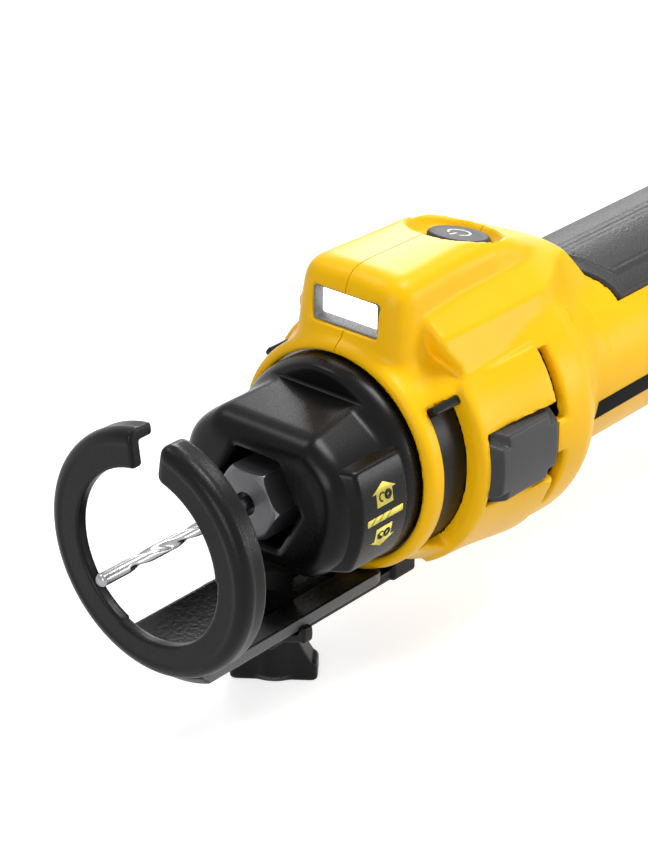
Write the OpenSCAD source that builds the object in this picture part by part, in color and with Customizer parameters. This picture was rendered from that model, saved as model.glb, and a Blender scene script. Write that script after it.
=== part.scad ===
// Cordless drywall cut out tool, in millimetres.
// Stations along the tool are measured from the front edge of the housing, rearwards positive,
// with the spindle axis at zero height. The placed() module moves the whole tool so that it lies on z = 0.

/* [Cutting bit and collet] */
// Diameter of the cutting bit
bit_d = 3.2; // [2.4:0.1:4]
// How far the tip of the bit stands ahead of the guide foot
bit_reach = 14.5; // [8:0.5:22]
// Length of the fluted stretch of the bit
flute_len = 27; // [16:1:34]
// Width of the collet nut across its flats
nut_af = 17; // [16:0.5:19]
// Length of the collet nut
nut_len = 14; // [12:0.5:15]
// How far the nut stands out of the lock collar
nut_stand = 3.5; // [2:0.5:6]

/* [Lock collar] */
// Length of the lock collar ahead of the housing
collar_len = 28.5; // [26:0.5:32]
// Radius of the round rear part of the collar
collar_r = 26.8; // [26:0.1:27]
// Distance from the axis to the flats of the collar
collar_flat = 19.3; // [19:0.1:20]
// Outer radius of the side pads
pad_r = 28; // [26:0.25:28.5]
// Length of the side pads
pad_len = 18; // [14:0.5:18]

/* [Housing] */
// Length of the housing, from its front edge to the rear of the battery dock
housing_len = 234; // [225:1:250]
// Radius of the front ring
front_r = 30.2; // [30:0.1:31]
// Radius of the barrel at the side band
band_r = 33.4; // [33:0.1:35]
// Largest radius of the barrel
barrel_r = 36.8; // [36:0.1:39]
// Station of the largest radius
barrel_peak = 54; // [52:1:58]
// Length of the shoulder behind the largest radius
shoulder_len = 28; // [26:1:34]
// Radius of the handle
handle_r = 26; // [25.5:0.1:27]
// How far the centre of the handle lies below the spindle axis
handle_drop = 2; // [1:0.1:3]
// Thickness of the housing wall
wall = 3; // [2.6:0.1:3.2]
// Thickness of the rubber grip
grip_t = 2; // [1.5:0.1:2.2]
// Gap between the rubber grip and the battery dock
grip_stop = 10; // [8:1:20]

/* [Lamp and switch] */
// Depth of the button's seat below the top of the hump
button_drop = 6; // [4:0.5:9]
// Half the width of the lamp box
lamp_box_half = 14.8; // [14:0.1:16]
// Width of the lamp lens
lens_w = 19.4; // [16:0.2:20]
// Height of the lamp lens
lens_h = 6.2; // [5:0.1:7]
// Diameter of the power button
button_d = 16; // [14:0.5:17]
// How far the button goes in
button_travel = 1.5; // [1:0.1:1.6]
// Tilt of the button, down to the rear, in degrees
button_tilt = 11; // [8:0.5:13]

/* [Battery dock] */
// Length of the dock
dock_len = 34; // [32:1:40]
// Width of the dock
dock_w = 76; // [72:1:84]
// Height of the top of the dock above the spindle axis
dock_top = 36; // [33:1:42]
// Width between the dock rails
rail_gap = 48; // [44:1:52]
// Depth of the battery pocket
pocket_depth = 14; // [12:0.5:16]

/* [Depth guide] */
// Distance from the front edge of the housing to the face of the guide foot
guide_reach = 66; // [60:1:70]
// Outer radius of the guide foot
foot_r = 30.5; // [29:0.25:31]
// Inner radius of the guide foot
foot_bore_r = 21.4; // [18:0.2:23]
// Thickness of the guide foot along the axis
foot_t = 7.5; // [6:0.25:9]
// Half the width of the guide arm
arm_half = 14.3; // [13:0.1:15]
// Thickness of the guide arm
arm_t = 3.2; // [2.6:0.1:3.4]
// How far the guide slides forward
slide_out = 18; // [10:1:18]
// How far the guide slides back
slide_back = 6; // [3:0.5:6]
// Height of the wing knob
knob_h = 13.5; // [11:0.5:17]
// Span of the wing knob
knob_span = 22; // [20:0.5:26]
// Angle of the wing knob at rest, in degrees
knob_angle = -52.5; // [-90:0.5:90]

/* [Hidden] */
$fn = 64;
cut = 1;                     // overrun of every cut
slip = 0.05;                 // radial clearance of turning fits
gap = 0.3;                   // clearance between moving faces

// Heights under the spindle axis, from the guide down to the surface that the tool lies on
arm_top = -foot_r;
arm_z = arm_top - arm_t;
tongue_top = arm_z - gap;
tongue_t = 3.4;
tongue_z = tongue_top - tongue_t;
knob_gap = 0.1;
knob_top = tongue_z - knob_gap;
axis_h = knob_h - knob_top;

// Nose
nut_front = -collar_len - nut_stand;
nut_lip = 2;
nut_rear = nut_front + nut_len;
nut_round = 1.6;
nut_mouth_r = 3;
tip_len = 8;
bit_tip = -guide_reach - bit_reach;
bit_r = bit_d / 2;
flute_core_share = 0.62;
flute_turns = 2.5;
flute_slices = 30;
collar_round = 5;
collar_ease = 0.7;
collar_step = -6;
socket_gap = 3.5;
pad_half_deg = 30;
collet_r = 4.5;
collet_len = 17;
collet_front = nut_front + nut_lip;
collet_slit = 0.6;
collet_slit_len = 11;
bit_end = collet_front + collet_len - nut_lip;

// Motor stack, front to rear
mouth_depth = 2.5;
mouth_gap = 0.4;
mouth_r = collar_r + mouth_gap;
plate_x = mouth_depth;
seat_lip = 1.5;
front_bearing_w = 8;
front_bearing_r = 14;
front_bearing_bore = 6;
plate_rim = 1;
plate_t = seat_lip + front_bearing_w + plate_rim;
boss_r = 17;
boss_bore = 10.5;
boss_len = 12.5;
boss_x = plate_x - boss_len;
clip_t = 1;
clip_stand = 1.6;
clip_sink = 1.5;
clip_inset = 1;
clip_x = boss_x + clip_inset;
flange_x = clip_x + clip_t + gap;
plate_end = plate_x + plate_t;
bearing_x = plate_x + seat_lip;
stack_gap = 1;
fan_x = plate_end + stack_gap;
fan_len = 6;
fan_disc = 1.5;
fan_r = 23.5;
fan_hub_r = 9;
fan_blade_t = 1;
fan_blades = 13;
fan_step = 0.8;
winding_over = 5;
winding_x = fan_x + fan_len + stack_gap;
stator_x = winding_x + winding_over;
stator_len = 24;
stator_end = stator_x + stator_len;
winding_end = stator_end + winding_over;
sleeve_r = 29;
sleeve_t = 1.8;
stator_r = sleeve_r - sleeve_t;
yoke_t = 5;
slots = 12;
tooth_w = 4;
coil_half = 3.5;
coil_in = 15.5;
tooth_in = 14.6;
magnet_r = 14;
magnet_t = 2.5;
magnets = 4;
magnet_gap_deg = 5;
rotor_r = magnet_r - magnet_t;
rotor_bore = 5;
board_gap = 0.5;
board_t = 1.6;
sensor_x = winding_end + board_gap;
sensor_in = 10;
back_x = sensor_x + board_t;
rear_bearing_w = 7;
rear_bearing_r = 11;
rear_bearing_bore = 4;
back_t = seat_lip + rear_bearing_w + seat_lip;
back_end = back_x + back_t;
rear_bearing_x = back_x + seat_lip;
sleeve_end = back_end;
shoulder_r = 8;
shaft_hole_r = 8.6;
ring_share = 0.275;
ball_share = 0.43;

// Housing
neck_x = barrel_peak + shoulder_len;
slot_x = 5.7;
slot_len = 6.3;
band_x = slot_x + slot_len;
slot_half_deg = 35;
lip_step = 1.8;
lip_end_deg = 110;
badge_x = 18.4;
badge_len = 24.4;
badge_sink = 0.8;
badge_stand = 1.8;
badge_r = band_r + badge_stand;
badge_half_deg = 16;
badge_notch = 2.4;
badge_notch_deg = 4;
tail_slot_x = badge_x + badge_len;
tail_slot_len = 3;
tail_slot_degs = [[11, 38], [-36, -5]];
seat_w = 4;
relief_x = band_x + seat_w;
relief_depth = 1.6;
relief_r = sleeve_r + relief_depth;
relief_end = sleeve_end - seat_w;
grip_backing = 1.5;
cavity_r = handle_r - grip_t - grip_backing;
dock_x = housing_len - dock_len;
grip_inset = 10;
grip_x = neck_x + grip_inset;
grip_end = dock_x - grip_stop;
grip_edge_deg = 44;
grip_stand = 0.4;
flare_len = 14;
flare_rise = 6;
flare_r = handle_r + flare_rise;
dock_round = 10;
inner_x = dock_x + wall;
pocket_x = housing_len - pocket_depth;
pocket_roof = 6;
pocket_top = dock_top - pocket_roof;
lip_t = 4;
rail_reach = 5;
pocket_w = rail_gap + 2 * rail_reach;
block_w = 32;
block_h = 28;
block_out = 5;
blade_t = 1;
blade_h = 20;
blade_out = 5;
blade_pitch = 7;
blades = 4;

// Heights of the switch and the button over the motor sleeve
bay_lift = 0.4;
bay_z = sleeve_r + bay_lift;
switch_t = 1.5;
switch_h = 1.8;
plunger_h = 1.2;
plunger_margin = 0.65;
flange_t = 1.9;
floor_t = 4;
button_z = bay_z + switch_t + switch_h + plunger_h + plunger_margin + button_travel
    + flange_t + slip + floor_t;
hump_h = button_z + button_drop;

// Hump with the lamp and the switch
hump_front = 2.5;
hump_lean = 2;
hump_round = 7;
hump_floor_z = 24;
skirt_half = 17.5;
skirt_z = 22;
box_round = 3;
crease_half = 27;
crease_z = 23;
panel_half = 19.5;
panel_z = 33;
crest_half = 14.5;
crest_step = 1.2;
crest_z = hump_h - crest_step;
shoulder_x = 15;
crest_x = 28;
crest_end = 52;
hump_tail_x = 80;
hump_tail_z = 31;
tail_half = 12;
lens_drop = 13.3;
lens_z = hump_h - lens_drop;
lens_x = 5;
lens_t = 1.6;
reflector_len = 4.4;
reflector_wall = 1.2;
chip = 2;
chip_pitch = 5.5;
chips = 3;
lamp_end = lens_x + lens_t + reflector_len + board_t;
button_x = 47.5;
button_rise = 1.4;
button_r = button_d / 2;
button_flange = 1.2;
well_deep = 14;
scoop_half = 11.5;
scoop_len = 27;
scoop_ahead = 12.5;
scoop_high = 20;
bay_half = 10;
bay_x = lamp_end;
bay_len = 52;
bay_drop = 13;
bay_top = hump_h - bay_drop;
switch_half = 6;
plunger_r = 1.6;

// Controller and leads
tray_inset = 24;
tray_x = neck_x + tray_inset;
tray_share = 0.55;
tray_len = (dock_x - tray_x) * tray_share;
tray_half = 15;
tray_z = -16;
tray_h = 12;
tray_wall = 1.6;
rib_t = 2.5;
lead_r = 1.2;
lead_pitch = 6;
lead_z = -10;
power_lead_r = 1.6;
power_lead_pitch = 16;

// Screws through the casing, given as station and height
screw_r = 1.5;
screw_head_r = 3;
screw_head_t = 2.2;
screw_seat = 6;
screw_len = 14;
screw_boss_r = 4.2;
screw_high_z = 8;
screw_low_z = -17;
screw_inset = 8;
screw_ahead = 20;
screw_corner = 12;
screw_places = [[neck_x + screw_inset, screw_high_z], [tray_x + tray_len / 2, screw_high_z],
    [dock_x - screw_ahead, screw_high_z], [neck_x + screw_inset, screw_low_z],
    [dock_x - screw_ahead, screw_low_z], [dock_x + screw_inset, dock_top - screw_corner],
    [dock_x + screw_inset, screw_corner - axis_h]];

// Depth guide
guide_face = -guide_reach;
foot_round = 3;
foot_bore_round = 1.2;
foot_plate_t = 3.2;
foot_rim_t = 3;
foot_gap_deg = [79, 94];
arm_set_back = 2.5;
arm_front = guide_face + arm_set_back;
arm_rear = 5;
arm_round = 6;
lip_len = 5;
bolt_x = -22;
bolt_r = 3;
bolt_head_r = 4.6;
bolt_head_t = 5;
bolt_head_z = slip - sqrt(foot_r * foot_r - bolt_head_r * bolt_head_r);
slot_r = bolt_r + gap;
tongue_half = 8;
tongue_lead = 10;
tongue_front = bolt_x - tongue_lead;
ear_lead = 6.5;
ear_x = bolt_x - ear_lead;
ear_len = 3.4;
ear_t = 2;
ear_stand = 1.6;
ear_top = arm_top + ear_stand;
base_gap = 2;
base_x = arm_rear + slide_back + base_gap;
base_len = 9;
base_half = 9;
base_z = tongue_z;
base_screw_y = 5;
base_screw_up = 6.6;
rivet_r = 1.2;
rivet_head_r = 2.4;
rivet_head_t = 1;
rivet_y = 7;
rivet_up = 7.2;
arm_outer_r = foot_r + arm_t;
rivet_z = -sqrt(arm_outer_r * arm_outer_r - rivet_y * rivet_y);
knob_z = -axis_h;
knob_wing_h = 6;
knob_wing_w = 7.4;
knob_hub_r = 6;
knob_floor = 2;
insert_t = 1.8;
insert_r = bolt_r + slip + insert_t;
bolt_end = knob_z + 2 * knob_floor;

// Middle of the whole tool along its axis
mid_x = (bit_tip + housing_len) / 2;

yellow = [0.98, 0.74, 0.05];
black = [0.13, 0.13, 0.14];
dark_grey = [0.27, 0.27, 0.29];
steel = [0.62, 0.63, 0.66];
dark_steel = [0.36, 0.36, 0.38];
copper = [0.72, 0.42, 0.2];
brass = [0.8, 0.65, 0.3];
green = [0.1, 0.35, 0.2];
white = [0.95, 0.95, 0.92];

// Moves a shape from tool stations to the part's own frame.
module placed() { translate([-mid_x, 0, axis_h]) children(); }

// Turns an outline of [station, radius] points about the spindle axis.
module turned(points) {
    rotate([0, 90, 0]) rotate_extrude() polygon([for (p = points) [p[1], p[0]]]);
}
module rod(x0, x1, r) { translate([x0, 0, 0]) rotate([0, 90, 0]) cylinder(h = x1 - x0, r = r); }
module tube(x0, x1, r_in, r_out) {
    difference() { rod(x0, x1, r_out); rod(x0 - cut, x1 + cut, r_in); }
}
module hexagon(x0, x1, flat) {
    translate([x0, 0, 0]) rotate([30, 0, 0]) rotate([0, 90, 0])
        cylinder(h = x1 - x0, r = flat / cos(30), $fn = 6);
}
module block(x0, x1, half, z0, z1) { translate([x0, -half, z0]) cube([x1 - x0, 2 * half, z1 - z0]); }
// A wedge about the spindle axis, from angle a0 to a1 above the horizontal on the left side.
module wedge(x0, x1, r, a0, a1) {
    far = r / cos((a1 - a0) / 2);
    translate([x0, 0, 0]) rotate([90, 0, 90]) linear_extrude(x1 - x0)
        polygon([[0, 0], [-far * cos(a0), far * sin(a0)],
            [-far * cos((a0 + a1) / 2) / cos((a1 - a0) / 2), far * sin((a0 + a1) / 2) / cos((a1 - a0) / 2)],
            [-far * cos(a1), far * sin(a1)]]);
}
module tube_sector(x0, x1, r_in, r_out, a0, a1) {
    intersection() { tube(x0, x1, r_in, r_out); wedge(x0 - cut, x1 + cut, r_out + cut, a0, a1); }
}
module both_sides() { children(); mirror([0, 1, 0]) children(); }
module rounded_rect(w, h, r) {
    for (sx = [-1, 1], sy = [-1, 1]) translate([sx * (w / 2 - r), sy * (h / 2 - r)]) circle(r);
    square([w - 2 * r, h], center = true);
    square([w, h - 2 * r], center = true);
}
function arc(cx, cy, r, a0, a1, n) = [for (i = [0:n]) let (a = a0 + (a1 - a0) * i / n)
    [cx + r * cos(a), cy + r * sin(a)]];
// A smooth step from 0 to 1.
function ease(t) = (1 - cos(180 * t)) / 2;

// Outer form of the casing
steps = 10;
function swell(i) = [band_x + (barrel_peak - band_x) * i / steps,
    band_r + (barrel_r - band_r) * ease(i / steps)];
function fall(i) = [barrel_peak + shoulder_len * i / steps,
    barrel_r + (handle_r - handle_drop - barrel_r) * ease(i / steps)];
module barrel_outer() {
    turned(concat([[0, 0], [0, front_r - lip_step]],
        arc(lip_step, front_r - lip_step, lip_step, 180, lip_end_deg, 5),
        [[slot_x, front_r], [band_x, front_r]],
        [for (i = [0:steps]) swell(i)], [for (i = [1:steps]) fall(i)], [[neck_x, 0]]));
}
module handle_outer() {
    translate([0, 0, -handle_drop]) {
        rod(barrel_peak, dock_x + cut, handle_r);
        turned([[dock_x - flare_len, 0], [dock_x - flare_len, handle_r], [dock_x, flare_r], [dock_x, 0]]);
    }
}
module dock_section(margin) {
    translate([0, (dock_top - axis_h) / 2])
        rounded_rect(dock_w - 2 * margin, dock_top + axis_h - 2 * margin, dock_round - margin);
}
module dock_outer() {
    translate([dock_x, 0, 0]) rotate([90, 0, 90]) linear_extrude(dock_len) dock_section(0);
}
module side_profile(points, half) {
    translate([0, half, 0]) rotate([90, 0, 0]) linear_extrude(2 * half) polygon(points);
}
module lamp_box() { intersection() { lamp_side(); lamp_section(); } }
module lamp_side() {
    side_profile(concat([[hump_front, 0], [hump_front, hump_floor_z]],
        [[hump_front + hump_lean, hump_h - hump_round]],
        arc(hump_front + hump_lean + hump_round, hump_h - hump_round, hump_round, 180, 90, 6),
        [[crest_x + hump_round, hump_h], [crest_x + hump_round, 0]]), skirt_half);
}
module lamp_section() {
    right = concat([[skirt_half, 0], [skirt_half, skirt_z], [lamp_box_half, lens_z]],
        arc(lamp_box_half - hump_lean - box_round, hump_h - box_round, box_round, 0, 90, 5));
    n = len(right) - 1;
    translate([hump_front - cut, 0, 0]) rotate([90, 0, 90]) linear_extrude(neck_x)
        polygon(concat(right, [for (i = [0:n]) [-right[n - i][0], right[n - i][1]]]));
}
module hump_body() {
    intersection() {
        side_profile(concat([[shoulder_x, 0], [shoulder_x, crease_z], [crest_x, crest_z],
            [crest_end, crest_z]], [for (i = [1:steps]) [crest_end + (hump_tail_x - crest_end) * i / steps,
            crest_z + (hump_tail_z - crest_z) * ease(i / steps)]],
            [[neck_x, hump_floor_z], [neck_x, 0]]), crease_half);
        translate([shoulder_x, 0, 0]) rotate([90, 0, 90]) linear_extrude(neck_x - shoulder_x)
            polygon([[-crease_half, 0], [-crease_half, crease_z], [-panel_half, panel_z],
                [-crest_half, crest_z], [crest_half, crest_z], [panel_half, panel_z],
                [crease_half, crease_z], [crease_half, 0]]);
        linear_extrude(hump_h + cut) polygon(concat([for (i = [0:steps]) plan(i, 1)],
            [for (i = [0:steps]) plan(steps - i, -1)], [[shoulder_x - cut, -crease_half - cut],
            [shoulder_x - cut, crease_half + cut]]));
    }
}
function plan(i, side) = [crest_end + (neck_x - crest_end) * i / steps,
    side * (crease_half + cut + (tail_half - crease_half - cut) * ease(i / steps))];
module at_button() { translate([button_x, 0, button_z]) rotate([0, button_tilt, 0]) children(); }
module scoop() {
    at_button() {
        translate([-scoop_ahead + scoop_half, 0, 0]) cylinder(h = scoop_high, r = scoop_half);
        translate([-scoop_ahead + scoop_half, -scoop_half, 0])
            cube([scoop_len, 2 * scoop_half, scoop_high]);
    }
}
module grip_ring(r_in, r_out) {
    translate([0, 0, -handle_drop])
        tube_sector(grip_x, grip_end, r_in, r_out, grip_edge_deg, 180 - grip_edge_deg);
}
module tray_box(margin) {
    block(tray_x + margin, tray_x + tray_len - margin, tray_half - margin, tray_z, tray_z + tray_h);
}
module casing() {
    difference() {
        union() {
            difference() {
                union() { barrel_outer(); handle_outer(); lamp_box(); hump_body(); }
                motor_space();
                handle_space();
            }
            difference() { dock_outer(); dock_space(); }
            handle_ribs();
            screw_bosses();
        }
        scoop();
        lamp_space();
        switch_space();
        vents();
        badge_seats();
        grip_ring(handle_r - grip_t, handle_r + cut);
        arm_clearance();
        screw_holes();
        base_screw_holes();
        tray_box(0);
        terminal_window();
    }
}
module motor_space() {
    rod(-cut, mouth_depth + cut, mouth_r);
    rod(mouth_depth, sleeve_end, sleeve_r);
    rod(relief_x, relief_end, relief_r);
    rod(sleeve_end - cut, neck_x - wall, cavity_r);
}
module handle_space() { translate([0, 0, -handle_drop]) rod(barrel_peak + wall, inner_x + cut, cavity_r); }
module dock_space() {
    translate([inner_x, 0, 0]) rotate([90, 0, 90])
        linear_extrude(pocket_x - wall - inner_x) dock_section(wall);
    translate([0, 0, -handle_drop]) rod(dock_x - cut, inner_x + cut, cavity_r);
    block(pocket_x, housing_len - lip_t, pocket_w / 2, -axis_h - cut, pocket_top);
    block(pocket_x, housing_len + cut, rail_gap / 2, -axis_h - cut, pocket_top);
}
module terminal_window() {
    block(pocket_x - wall - cut, pocket_x + cut, block_w / 2, -block_h / 2, block_h / 2);
}
module handle_ribs() {
    for (x = [tray_x + rib_t, tray_x + tray_len - 2 * rib_t]) translate([0, 0, -handle_drop])
        rod(x, x + rib_t, cavity_r + cut);
}
module screw_bosses() {
    intersection() {
        union() for (p = screw_places) translate([p[0], dock_w / 2, p[1]])
            rotate([90, 0, 0]) cylinder(h = dock_w, r = screw_boss_r);
        union() {
            translate([0, 0, -handle_drop]) rod(neck_x, inner_x, cavity_r + cut);
            translate([dock_x, 0, 0]) rotate([90, 0, 90]) linear_extrude(pocket_x - dock_x) dock_section(cut);
        }
    }
}
module screw_holes() {
    for (p = screw_places) translate([p[0], 0, p[1]]) {
        translate([0, screw_seat, 0]) rotate([90, 0, 0]) cylinder(h = screw_len, r = screw_r);
        translate([0, screw_seat, 0]) rotate([-90, 0, 0]) cylinder(h = dock_w, r = screw_head_r);
    }
}
module lamp_space() {
    block(-cut, lamp_end + cut, lens_w / 2, lens_z, lens_z + lens_h);
}
module switch_space() {
    block(bay_x, bay_x + bay_len, bay_half, 0, bay_top);
    at_button() {
        translate([0, 0, -floor_t - cut]) cylinder(h = floor_t + 2 * cut, r = button_r + gap);
        translate([0, 0, -well_deep]) cylinder(h = well_deep - floor_t, r = button_r + button_flange + gap);
    }
}
module vents() {
    both_sides() {
        tube_sector(slot_x, band_x, sleeve_r - cut, barrel_r, -slot_half_deg, slot_half_deg);
        for (a = tail_slot_degs)
            tube_sector(tail_slot_x, tail_slot_x + tail_slot_len, sleeve_r - cut, barrel_r + cut, a[0], a[1]);
    }
}
module badge_form(r_in) {
    difference() {
        tube_sector(badge_x, badge_x + badge_len, r_in, badge_r, -badge_half_deg, badge_half_deg);
        for (x = [badge_x, badge_x + badge_len - badge_notch], s = [-1, 1])
            wedge(x - cut, x + badge_notch + cut, badge_r + cut, s * badge_half_deg - badge_notch_deg,
                s * badge_half_deg + badge_notch_deg);
    }
}
module badge_seats() { both_sides() badge_form(band_r - badge_sink); }
module arm_clearance() {
    half_deg = asin((arm_half + gap) / (foot_r - gap));
    tube_sector(-cut, base_x, foot_r - gap, foot_r + 2 * arm_t, -90 - half_deg, -90 + half_deg);
}

// Casing pieces
module left_housing() { color(yellow) placed() intersection() { casing(); side_half(-1); } }
module right_housing() { color(yellow) placed() intersection() { casing(); side_half(1); } }
module side_half(side) {
    translate([-cut, side < 0 ? -dock_w : 0, -axis_h - cut])
        cube([housing_len + 2 * cut, dock_w, axis_h + hump_h + 2 * cut]);
}
module rubber_grip() { color(black) placed() grip_ring(handle_r - grip_t, handle_r + grip_stand); }
module housing_screws() {
    color(dark_steel) placed() for (p = screw_places) translate([p[0], screw_seat, p[1]]) {
        rotate([90, 0, 0]) cylinder(h = screw_len, r = screw_r);
        difference() {
            rotate([-90, 0, 0]) cylinder(h = screw_head_t, r = screw_head_r);
            translate([0, screw_head_t / 2, 0]) rotate([-90, 0, 0])
                cylinder(h = screw_head_t, r = screw_r, $fn = 6);
        }
    }
}
module left_badge() { color(dark_grey) placed() badge_form(band_r - badge_sink); }
module right_badge() { color(dark_grey) placed() mirror([0, 1, 0]) badge_form(band_r - badge_sink); }

// Lamp and switch
module lamp_lens() {
    color(white) placed() block(lens_x, lens_x + lens_t, lens_w / 2, lens_z, lens_z + lens_h);
}
module lamp_reflector() {
    x0 = lens_x + lens_t;
    color(white) placed() difference() {
        block(x0, x0 + reflector_len, lens_w / 2, lens_z, lens_z + lens_h);
        block(x0 - cut, x0 + reflector_len + cut, lens_w / 2 - reflector_wall, lens_z + reflector_wall,
            lens_z + lens_h - reflector_wall);
    }
}
module lamp_board() {
    color(green) placed() block(lamp_end - board_t, lamp_end, lens_w / 2, lens_z, lens_z + lens_h);
}
module lamp_chips() {
    color(white) placed() for (i = [0:chips - 1])
        translate([lamp_end - board_t - chip, (i - (chips - 1) / 2) * chip_pitch - chip / 2,
            lens_z + lens_h / 2 - chip / 2]) cube(chip);
}
module switch_plate() {
    color(green) placed() block(button_x - bay_half, button_x + bay_half, bay_half, bay_z, bay_z + switch_t);
}
module switch_body() {
    color(black) placed() {
        block(button_x - switch_half, button_x + switch_half, switch_half, bay_z + switch_t,
            bay_z + switch_t + switch_h);
        translate([button_x, 0, bay_z + switch_t + switch_h]) cylinder(h = plunger_h, r = plunger_r);
    }
}
module power_button() {
    color(dark_grey) placed() at_button() {
        translate([0, 0, -floor_t - slip - flange_t]) cylinder(h = flange_t, r = button_r + button_flange);
        translate([0, 0, -floor_t - slip - cut])
            cylinder(h = floor_t + slip + cut + button_rise, r = button_r);
    }
}

// Motor
module motor_sleeve() { color(black) placed() tube(plate_x, sleeve_end, stator_r, sleeve_r); }
module front_bearing_plate() {
    color(dark_grey) placed() difference() {
        union() { rod(plate_x, plate_end, stator_r); rod(boss_x, plate_x + cut, boss_r); }
        rod(boss_x - cut, bearing_x + cut, boss_bore);
        rod(bearing_x, plate_end + cut, front_bearing_r);
        tube(clip_x, clip_x + clip_t, boss_r - clip_sink, boss_r + cut);
    }
}
module collar_clip() {
    color(steel) placed() tube(clip_x, clip_x + clip_t, boss_r - clip_sink, boss_r + clip_stand);
}
module rear_bearing_plate() {
    color(black) placed() difference() {
        rod(back_x, back_end, stator_r);
        rod(back_x - cut, rear_bearing_x + cut, shaft_hole_r);
        rod(rear_bearing_x, rear_bearing_x + rear_bearing_w, rear_bearing_r);
    }
}
module about_axis(n) { for (i = [0:n - 1]) rotate([360 * i / n, 0, 0]) children(); }
module tooth() { block(stator_x, stator_end, tooth_w / 2, tooth_in, stator_r - yoke_t / 2); }
module stator_core() {
    color(dark_steel) placed() union() {
        tube(stator_x, stator_end, stator_r - yoke_t, stator_r);
        about_axis(slots) tooth();
    }
}
module stator_windings() {
    color(copper) placed() about_axis(slots) difference() {
        block(winding_x, winding_end, coil_half, coil_in, stator_r - yoke_t - cut);
        block(stator_x, stator_end, tooth_w / 2, coil_in - cut, stator_r);
    }
}
module sensor_board() { color(green) placed() tube(sensor_x, back_x, sensor_in, stator_r); }
module race(x0, w, bore, r, side) {
    t = (r - bore) * ring_share;
    if (side > 0) tube(x0, x0 + w, r - t, r);
    else tube(x0, x0 + w, bore, bore + t);
}
module ball_row(x0, w, bore, r) {
    ball = (r - bore) * (1 - 2 * ring_share) / 2 - slip;
    pitch = (r + bore) / 2;
    about_axis(floor(2 * PI * pitch * ball_share / ball))
        translate([x0 + w / 2, 0, pitch]) sphere(ball, $fn = 32);
}
module front_bearing_outer() {
    color(steel) placed() race(bearing_x, front_bearing_w, front_bearing_bore, front_bearing_r, 1);
}
module front_bearing_inner() {
    color(steel) placed() race(bearing_x, front_bearing_w, front_bearing_bore, front_bearing_r, -1);
}
module front_bearing_balls() {
    color(steel) placed() ball_row(bearing_x, front_bearing_w, front_bearing_bore, front_bearing_r);
}
module rear_bearing_outer() {
    color(steel) placed() race(rear_bearing_x, rear_bearing_w, rear_bearing_bore, rear_bearing_r, 1);
}
module rear_bearing_inner() {
    color(steel) placed() race(rear_bearing_x, rear_bearing_w, rear_bearing_bore, rear_bearing_r, -1);
}
module rear_bearing_balls() {
    color(steel) placed() ball_row(rear_bearing_x, rear_bearing_w, rear_bearing_bore, rear_bearing_r);
}
module motor_leads() {
    color(black) placed() for (i = [-1:1])
        translate([0, i * lead_pitch, lead_z]) rod(back_end, tray_x, lead_r);
}
module controller_tray() {
    color(dark_grey) placed() difference() {
        tray_box(0);
        translate([0, 0, tray_wall]) tray_box(tray_wall);
    }
}
module controller_board() {
    color(green) placed() block(tray_x + tray_wall, tray_x + tray_len - tray_wall, tray_half - tray_wall,
        tray_z + tray_wall, tray_z + tray_wall + board_t);
}
module battery_leads() {
    color(black) placed() for (s = [-1, 1]) translate([0, s * power_lead_pitch / 2, lead_z])
        rod(tray_x + tray_len, pocket_x - wall, power_lead_r);
}
module terminal_block() {
    color(black) placed()
        block(pocket_x - wall, pocket_x + block_out, block_w / 2, -block_h / 2, block_h / 2);
}
module terminal_blades() {
    color(brass) placed() for (i = [0:blades - 1])
        translate([pocket_x + block_out, (i - (blades - 1) / 2) * blade_pitch - blade_t / 2, -blade_h / 2])
            cube([blade_out, blade_t, blade_h]);
}

// Spindle
module spindle_shaft() {
    color(steel) placed() difference() {
        turned([[collet_front, 0], [collet_front, front_bearing_bore], [nut_rear, front_bearing_bore],
            [nut_rear, shoulder_r], [bearing_x, shoulder_r], [bearing_x, front_bearing_bore],
            [bearing_x + front_bearing_w, front_bearing_bore], [bearing_x + front_bearing_w, rotor_bore],
            [rear_bearing_x, rotor_bore], [rear_bearing_x, rear_bearing_bore],
            [rear_bearing_x + rear_bearing_w, rear_bearing_bore], [rear_bearing_x + rear_bearing_w, 0]]);
        rod(collet_front - cut, collet_front + collet_len, collet_r);
    }
}
module rotor_core() { color(dark_steel) placed() tube(stator_x, stator_end, rotor_bore, rotor_r); }
module rotor_magnets() {
    span = 360 / magnets - magnet_gap_deg;
    color(steel) placed() about_axis(magnets)
        tube_sector(stator_x, stator_end, rotor_r, magnet_r, -span / 2, span / 2);
}
module cooling_fan() {
    color(black) placed() difference() {
        union() {
            rod(fan_x, fan_x + fan_len, fan_hub_r);
            rod(fan_x, fan_x + fan_disc, fan_r);
            about_axis(fan_blades)
                block(fan_x + fan_disc / 2, fan_x + fan_len - fan_step, fan_blade_t / 2,
                    fan_hub_r - cut, fan_r - fan_step);
        }
        rod(fan_x - cut, fan_x + fan_len + cut, rotor_bore);
    }
}
module collet() {
    color(dark_steel) placed() difference() {
        rod(collet_front, collet_front + collet_len, collet_r);
        rod(collet_front - cut, collet_front + collet_len + cut, bit_r);
        for (a = [45, 135]) rotate([a, 0, 0])
            block(collet_front - cut, collet_front + collet_slit_len, collet_slit / 2, -collet_r, collet_r);
    }
}
module collet_nut() {
    corner = nut_af / 2 / cos(30);
    color(dark_steel) placed() difference() {
        intersection() {
            hexagon(nut_front, nut_rear, nut_af / 2);
            turned(concat([[nut_front, 0]],
                arc(nut_front + nut_round, corner - nut_round - slip, nut_round, 180, 90, 5),
                [[nut_rear, corner - slip], [nut_rear, 0]]));
        }
        rod(nut_front - cut, nut_front + nut_lip + cut, nut_mouth_r);
        rod(nut_front + nut_lip, nut_rear + cut, front_bearing_bore);
    }
}
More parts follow.
